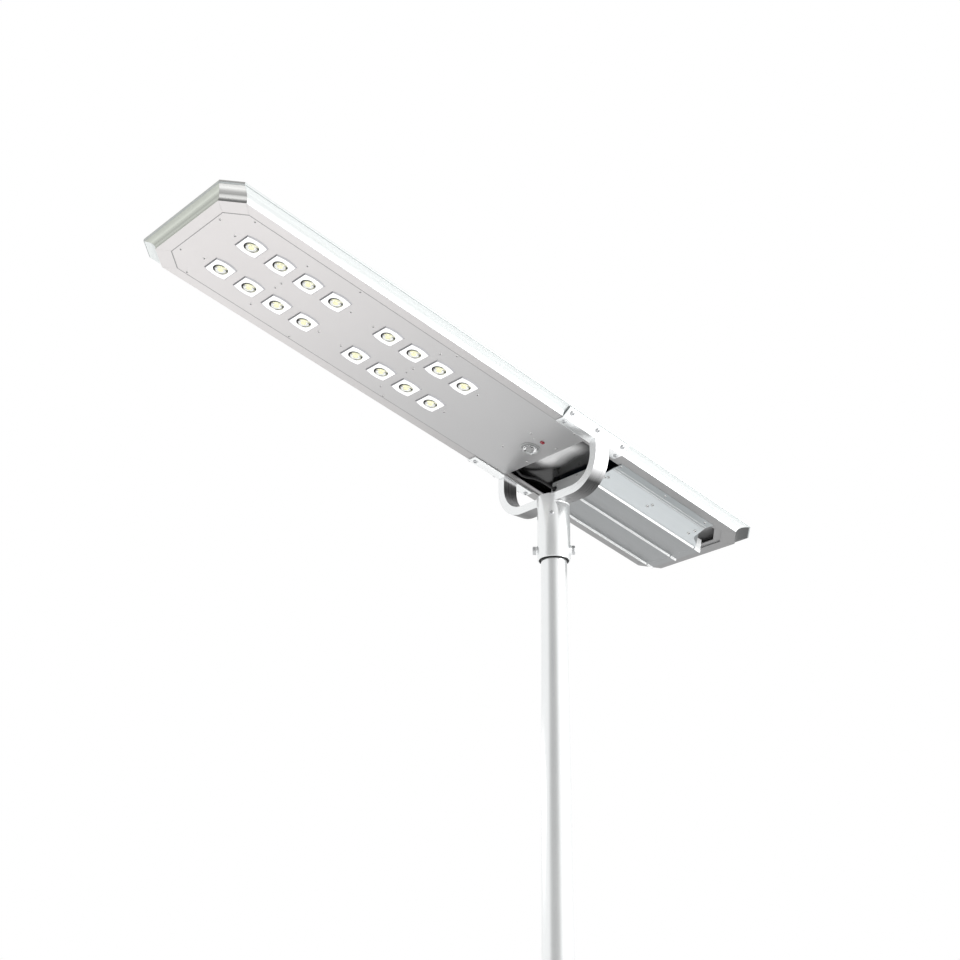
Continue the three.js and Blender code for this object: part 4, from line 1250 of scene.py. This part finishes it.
class BuildBattery(bpy.types.Operator):
    """Build the battery pack and its lead"""

    bl_idname = "street_lamp.build_battery"
    bl_label = "Battery pack and lead"

    def execute(self, context):
        section = rounded([[-60, -34], [60, -34], [66, -28], [66, 12], [-66, 12], [-66, -28]], 4.0, 4)
        middle = np.array([0.0, -11.0])
        rows = [(76.0, 0.9), (77.0, 0.97), (80.0, 1.0), *((x, 1.0) for x in np.linspace(120, 330, 6)),
                (370.0, 1.0), (373.0, 0.97), (374.0, 0.9)]
        rings = np.stack([np.column_stack([np.full(len(section), x), (section - middle) * k + middle])
                          for x, k in rows])
        pack = Shell().solid(rings)
        build("pack_wrap", pack, ["pack_wrap"], ["battery_pack"], sharp=50)
        route = [(-124.5, 40, 9), (-105, 42, 9), (-75, 62, 9), (-52, 88, 9), (-38, 99, 9), (-26, 100, 9),
                 (-10, 104, 9), (4, 108, 8.5), (16, 103, 8), (27, 91, 7), (38, 80, 3), (50, 70, -4),
                 (60, 64.5, -8), (69, 63, -9), (75.6, 63, -9)]
        lead = Shell().solid(tube(catmull(route, 8), 3.0, 16))
        build("lead_sheath", lead, ["lead_sheath"], ["battery_lead"])
        rings = Shell()
        for x, y, z in ((-27.6, 100.0, 9.0), (66.6, 63.0, -9.0)):
            ring = turned([(3.1, -1.2), (5.6, -1.2), (6.4, -0.5), (6.4, 0.6), (5.6, 1.2), (3.1, 1.2)], 24)
            ring = ring @ turn_matrix((1, 0, 0)).T + (x, y, z)
            rings.ring(ring)
        build("lead_grommets", rings, ["black_plastic"])
        return {"FINISHED"}


class BuildBrackets(bpy.types.Operator):
    """Build the side brackets and their bolts"""

    bl_idname = "street_lamp.build_brackets"
    bl_label = "Brackets"

    def execute(self, context):
        s = sizes("lamp_head")
        foot, top, under = np.array([2.1, -0.6]), np.array([17.6, 13.1]), BRACKET_LOW
        section = rounded([[-23, -GAP], [-23, under], [1, under], foot, top, [17.9, 17.1], [16.7, 17.1],
                           [16.1, 14.9], [0.5, 1.2], [0.35, -GAP]],
                          0.8, 3)
        section[:, 0] = -(s["half_width"] + section[:, 0])
        bracket = Shell().solid(bar_x(section, -114.0, 58.0))
        run = (top - foot) / np.linalg.norm(top - foot)
        inward = (0.0, run[1], run[0])
        seat = foot + 0.68 * (top - foot)
        bolt = socket_bolt(5.0, 2.8, 2.5, 9.0)
        short = socket_bolt(5.0, 2.8, 2.5, 8.0)
        for label, side in SIDES:
            turn = (lambda shell: shell) if side < 0 else mirrored
            build("bracket_plate_" + label, turn(bracket),
                  ["white_paint"], ["bracket_" + label], sharp=30, bevel=0.5)
            for i, x in enumerate((-102.0, -28.0, 46.0)):
                spot = np.array([x, -(s["half_width"] + seat[0]), seat[1]]) - np.array(inward) * GAP
                self.make_bolt(f"side_screw_{label}_{i + 1}", f"side_bolt_{label}_{i + 1}", bolt,
                               turn_matrix(inward), spot, turn)
            for i, x in enumerate((-102.0, 50.0)):
                self.make_bolt(f"flange_screw_{label}_{i + 1}", f"flange_bolt_{label}_{i + 1}", short,
                               np.eye(3), np.array([x, -(s["half_width"] - 9.6), under - GAP]), turn)
        return {"FINISHED"}

    @staticmethod
    def make_bolt(name, node, bolt, matrix, spot, turn):
        shell = Shell()
        shell.points = [p @ matrix.T + spot for p in bolt.points]
        shell.faces, shell.paint, shell.count = bolt.faces, bolt.paint, bolt.count
        build(name, turn(shell), ["bolt_steel"], [node], sharp=30)


def arm_rings(s):
    """The far arm: its section in (y, z), out from the sleeve, round a wide bend and up, carried
    along X; the inner end follows the sleeve's circle and the top follows the head's tilt."""
    thick, outer, low_top, bend = s["arm_thick"], s["arm_outer"], s["arm_top"], s["arm_bend"]
    bend_y, bend_z = outer - thick - bend, low_top + bend
    wide, tight = arc(bend_y, bend_z, bend + thick, -90, 0, 24), arc(bend_y, bend_z, bend, 0, -90, 24)
    rings = []
    for x in np.linspace(s["arm_middle"] - s["arm_width"] / 2, s["arm_middle"] + s["arm_width"] / 2, 11):
        start = math.sqrt((s["sleeve_radius"] - 0.2) ** 2 - x * x)
        end = (BRACKET_LOW - GAP) / math.cos(TILT) - math.tan(TILT) * x
        flat = np.vstack([[start, low_top - thick], wide, [outer, end], [outer - thick, end], tight,
                          [start, low_top]])
        rings.append(np.column_stack([np.full(len(flat), x), flat]))
    return np.stack(rings)


def arm_bead(s):
    """A weld bead that follows the joint of the arm and the sleeve, its radius rippling."""
    low, high = s["arm_top"] - s["arm_thick"], s["arm_top"]
    x0, x1 = s["arm_middle"] - s["arm_width"] / 2, s["arm_middle"] + s["arm_width"] / 2
    corners = np.array([[x0, high - 1], [x0, low], [x1, low], [x1, high - 1]])
    steps = np.linspace(0, 1, 36)[:, None]
    line = np.vstack([a + (b - a) * steps for a, b in zip(corners[:-1], corners[1:])])
    y = np.sqrt((s["sleeve_radius"] + 0.1) ** 2 - line[:, 0] ** 2)
    ripple = 1.5 + 0.22 * np.sin(np.arange(len(line)) * 1.5)
    path = np.column_stack([line[:, 0], y, line[:, 1]])
    keep = np.append(np.linalg.norm(np.diff(path, axis=0), axis=1) > 1e-6, True)
    return tube(path[keep], ripple[keep], 10)


class BuildYoke(bpy.types.Operator):
    """Build the two arms of the yoke"""

    bl_idname = "street_lamp.build_yoke"
    bl_label = "Yoke"

    def execute(self, context):
        s = sizes("lamp_yoke")
        rings = arm_rings(s)
        arm = Shell().solid(rings, cap_slot=1)
        # Each point's share of the way round the arm's section, which places the arm's painted reflections.
        run = np.concatenate([[0.0], np.linspace(0.12, 0.36, 25), [0.5, 0.5], np.linspace(0.64, 0.88, 25),
                              [1.0]])
        turns = np.tile(run, len(rings))
        bead = Shell().solid(arm_bead(s))
        for label, side in SIDES:
            turn = (lambda shell: shell) if side > 0 else mirrored
            body = frame["nodes"]["yoke_arm_" + label]["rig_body"]
            build("arm_" + label, turn(arm), ["arm_sheen", "white_paint"],
                  ["yoke_arm_" + label], lift, body, angles=turns)
            build("arm_weld_" + label, turn(bead), ["white_paint"], (), lift, body)
        return {"FINISHED"}


class BuildSleeve(bpy.types.Operator):
    """Build the sleeve and its set bolts"""

    bl_idname = "street_lamp.build_sleeve"
    bl_label = "Sleeve"

    def execute(self, context):
        s = sizes("lamp_yoke")
        r, bore, top, low = s["sleeve_radius"], s["sleeve_bore"], s["sleeve_top"], s["sleeve_low"]
        profile = [(bore, low + 0.8), (bore + 0.5, low), (r - 0.8, low), (r - 0.2, low + 0.25),
                   (r, low + 0.8), (r, top - 0.8), (r - 0.25, top - 0.2), (r - 0.8, top),
                   (bore + 0.5, top), (bore, top - 0.8)]
        shell = Shell().ring(turned(profile, 128))
        for index, degrees in enumerate(SET_BOLT_ANGLES):
            angle = math.radians(degrees)
            out = (math.cos(angle), math.sin(angle), 0.0)
            matrix = turn_matrix(out)
            base = np.array([0.0, 0.0, s["bolt_drop"]])
            nut = hexagon(17.0, r - 2.5, r + 3.6, 1.4) @ matrix.T + base
            shell.solid(nut)
            bead = turned([(9.2, r - 0.9), (11.0, r - 0.7), (10.6, r + 0.5), (9.4, r + 1.1)], 40)
            shell.ring(bead @ matrix.T + base)
            seat = r + 3.6 + GAP
            bolt = Shell().solid(hexagon(17.0, seat, seat + 5.8, 1.5) @ matrix.T + base)
            shank = turned([(4.2, 28.4), (5.0, 29.4), (5.0, seat + 0.5)], 24) @ matrix.T + base
            bolt.solid(shank)
            build(f"set_screw_{index + 1}", bolt, ["bolt_steel"],
                  [f"set_bolt_{index + 1}"], lift, f"set_bolt_{index + 1}", sharp=25)
        body = frame["nodes"]["pole_sleeve"]["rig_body"]
        inward = -np.array([math.cos(math.radians(-140)), math.sin(math.radians(-140)), 0.0])
        stud = socket_bolt(4.6, 2.2, 2.4, 2.0)
        stud.points = [p @ turn_matrix(inward).T - inward * r + (0.0, 0.0, -127.0) for p in stud.points]
        build("sleeve_stud", stud, ["bolt_steel"], (), lift, body, sharp=30)
        # A dark ring just inside the sleeve's lower rim, standing a little below it: painted shade of the gap
        # between the sleeve and the pole.
        collar = turned([(27.9, low - 1.6), (30.9, low - 1.9), (31.3, low - 1.2), (31.3, low + 14),
                         (28.4, low + 14)], 96)
        build("sleeve_packing", Shell().ring(collar), ["dark_recess"], (), lift, body)
        build("sleeve_tube", shell, ["white_paint"], ["pole_sleeve"], lift, body, sharp=40)
        return {"FINISHED"}


class BuildPole(bpy.types.Operator):
    """Build the tapered pole"""

    bl_idname = "street_lamp.build_pole"
    bl_label = "Pole"

    def execute(self, context):
        s = sizes("lamp_yoke")
        top, wall, high = s["pole_top"], s["pole_wall"], s["pole_top_radius"]
        low = s["pole_low_radius"]
        heights = np.linspace(-HEAD_LIFT, top - 1.0, 15)
        radii = low + (high - low) * (heights + HEAD_LIFT) / (top + HEAD_LIFT)
        profile = np.vstack([np.column_stack([radii, heights]), [high - 0.4, top], [high - wall + 0.4, top],
                             [high - wall, top - 1.0], [low - wall, -HEAD_LIFT]])
        build("pole_tube", Shell().ring(turned(profile, 96)), ["pole_paint"], ["pole"],
              lift, "pole", sharp=40)
        return {"FINISHED"}


OPERATORS = (BuildStage, BuildFrame, BuildPanel, BuildLampPlate, BuildLenses, BuildSensor, BuildHousing,
             BuildBattery, BuildBrackets, BuildYoke, BuildSleeve, BuildPole)
GROUPS = {"lamp_head": LampHeadSizes, "lamp_yoke": LampYokeSizes, "lamp_housing": LampHousingSizes,
          "lamp_finishes": LampFinishes, "lamp_stage": LampStage}


class LampPanel(bpy.types.Panel):
    """The lamp's build steps"""

    bl_idname = "VIEW3D_PT_street_lamp"
    bl_label = "Street lamp"
    bl_space_type = "VIEW_3D"
    bl_region_type = "UI"
    bl_category = "Street lamp"

    def draw(self, context):
        column = self.layout.column(align=True)
        for operator in OPERATORS:
            column.operator(operator.bl_idname)


def register():
    """Adds the sizes, the operators and the panel."""
    for kind in (*GROUPS.values(), *OPERATORS, LampPanel):
        bpy.utils.register_class(kind)
    for name, kind in GROUPS.items():
        setattr(bpy.types.Scene, name, PointerProperty(type=kind))


def unregister():
    """Takes them away again."""
    for name in GROUPS:
        delattr(bpy.types.Scene, name)
    for kind in (LampPanel, *reversed(OPERATORS), *reversed(list(GROUPS.values()))):
        bpy.utils.unregister_class(kind)


def main():
    """Runs every step in order."""
    register()
    for operator in OPERATORS:
        getattr(bpy.ops.street_lamp, operator.bl_idname.split(".")[1])()


if __name__ == "__main__":
    main()
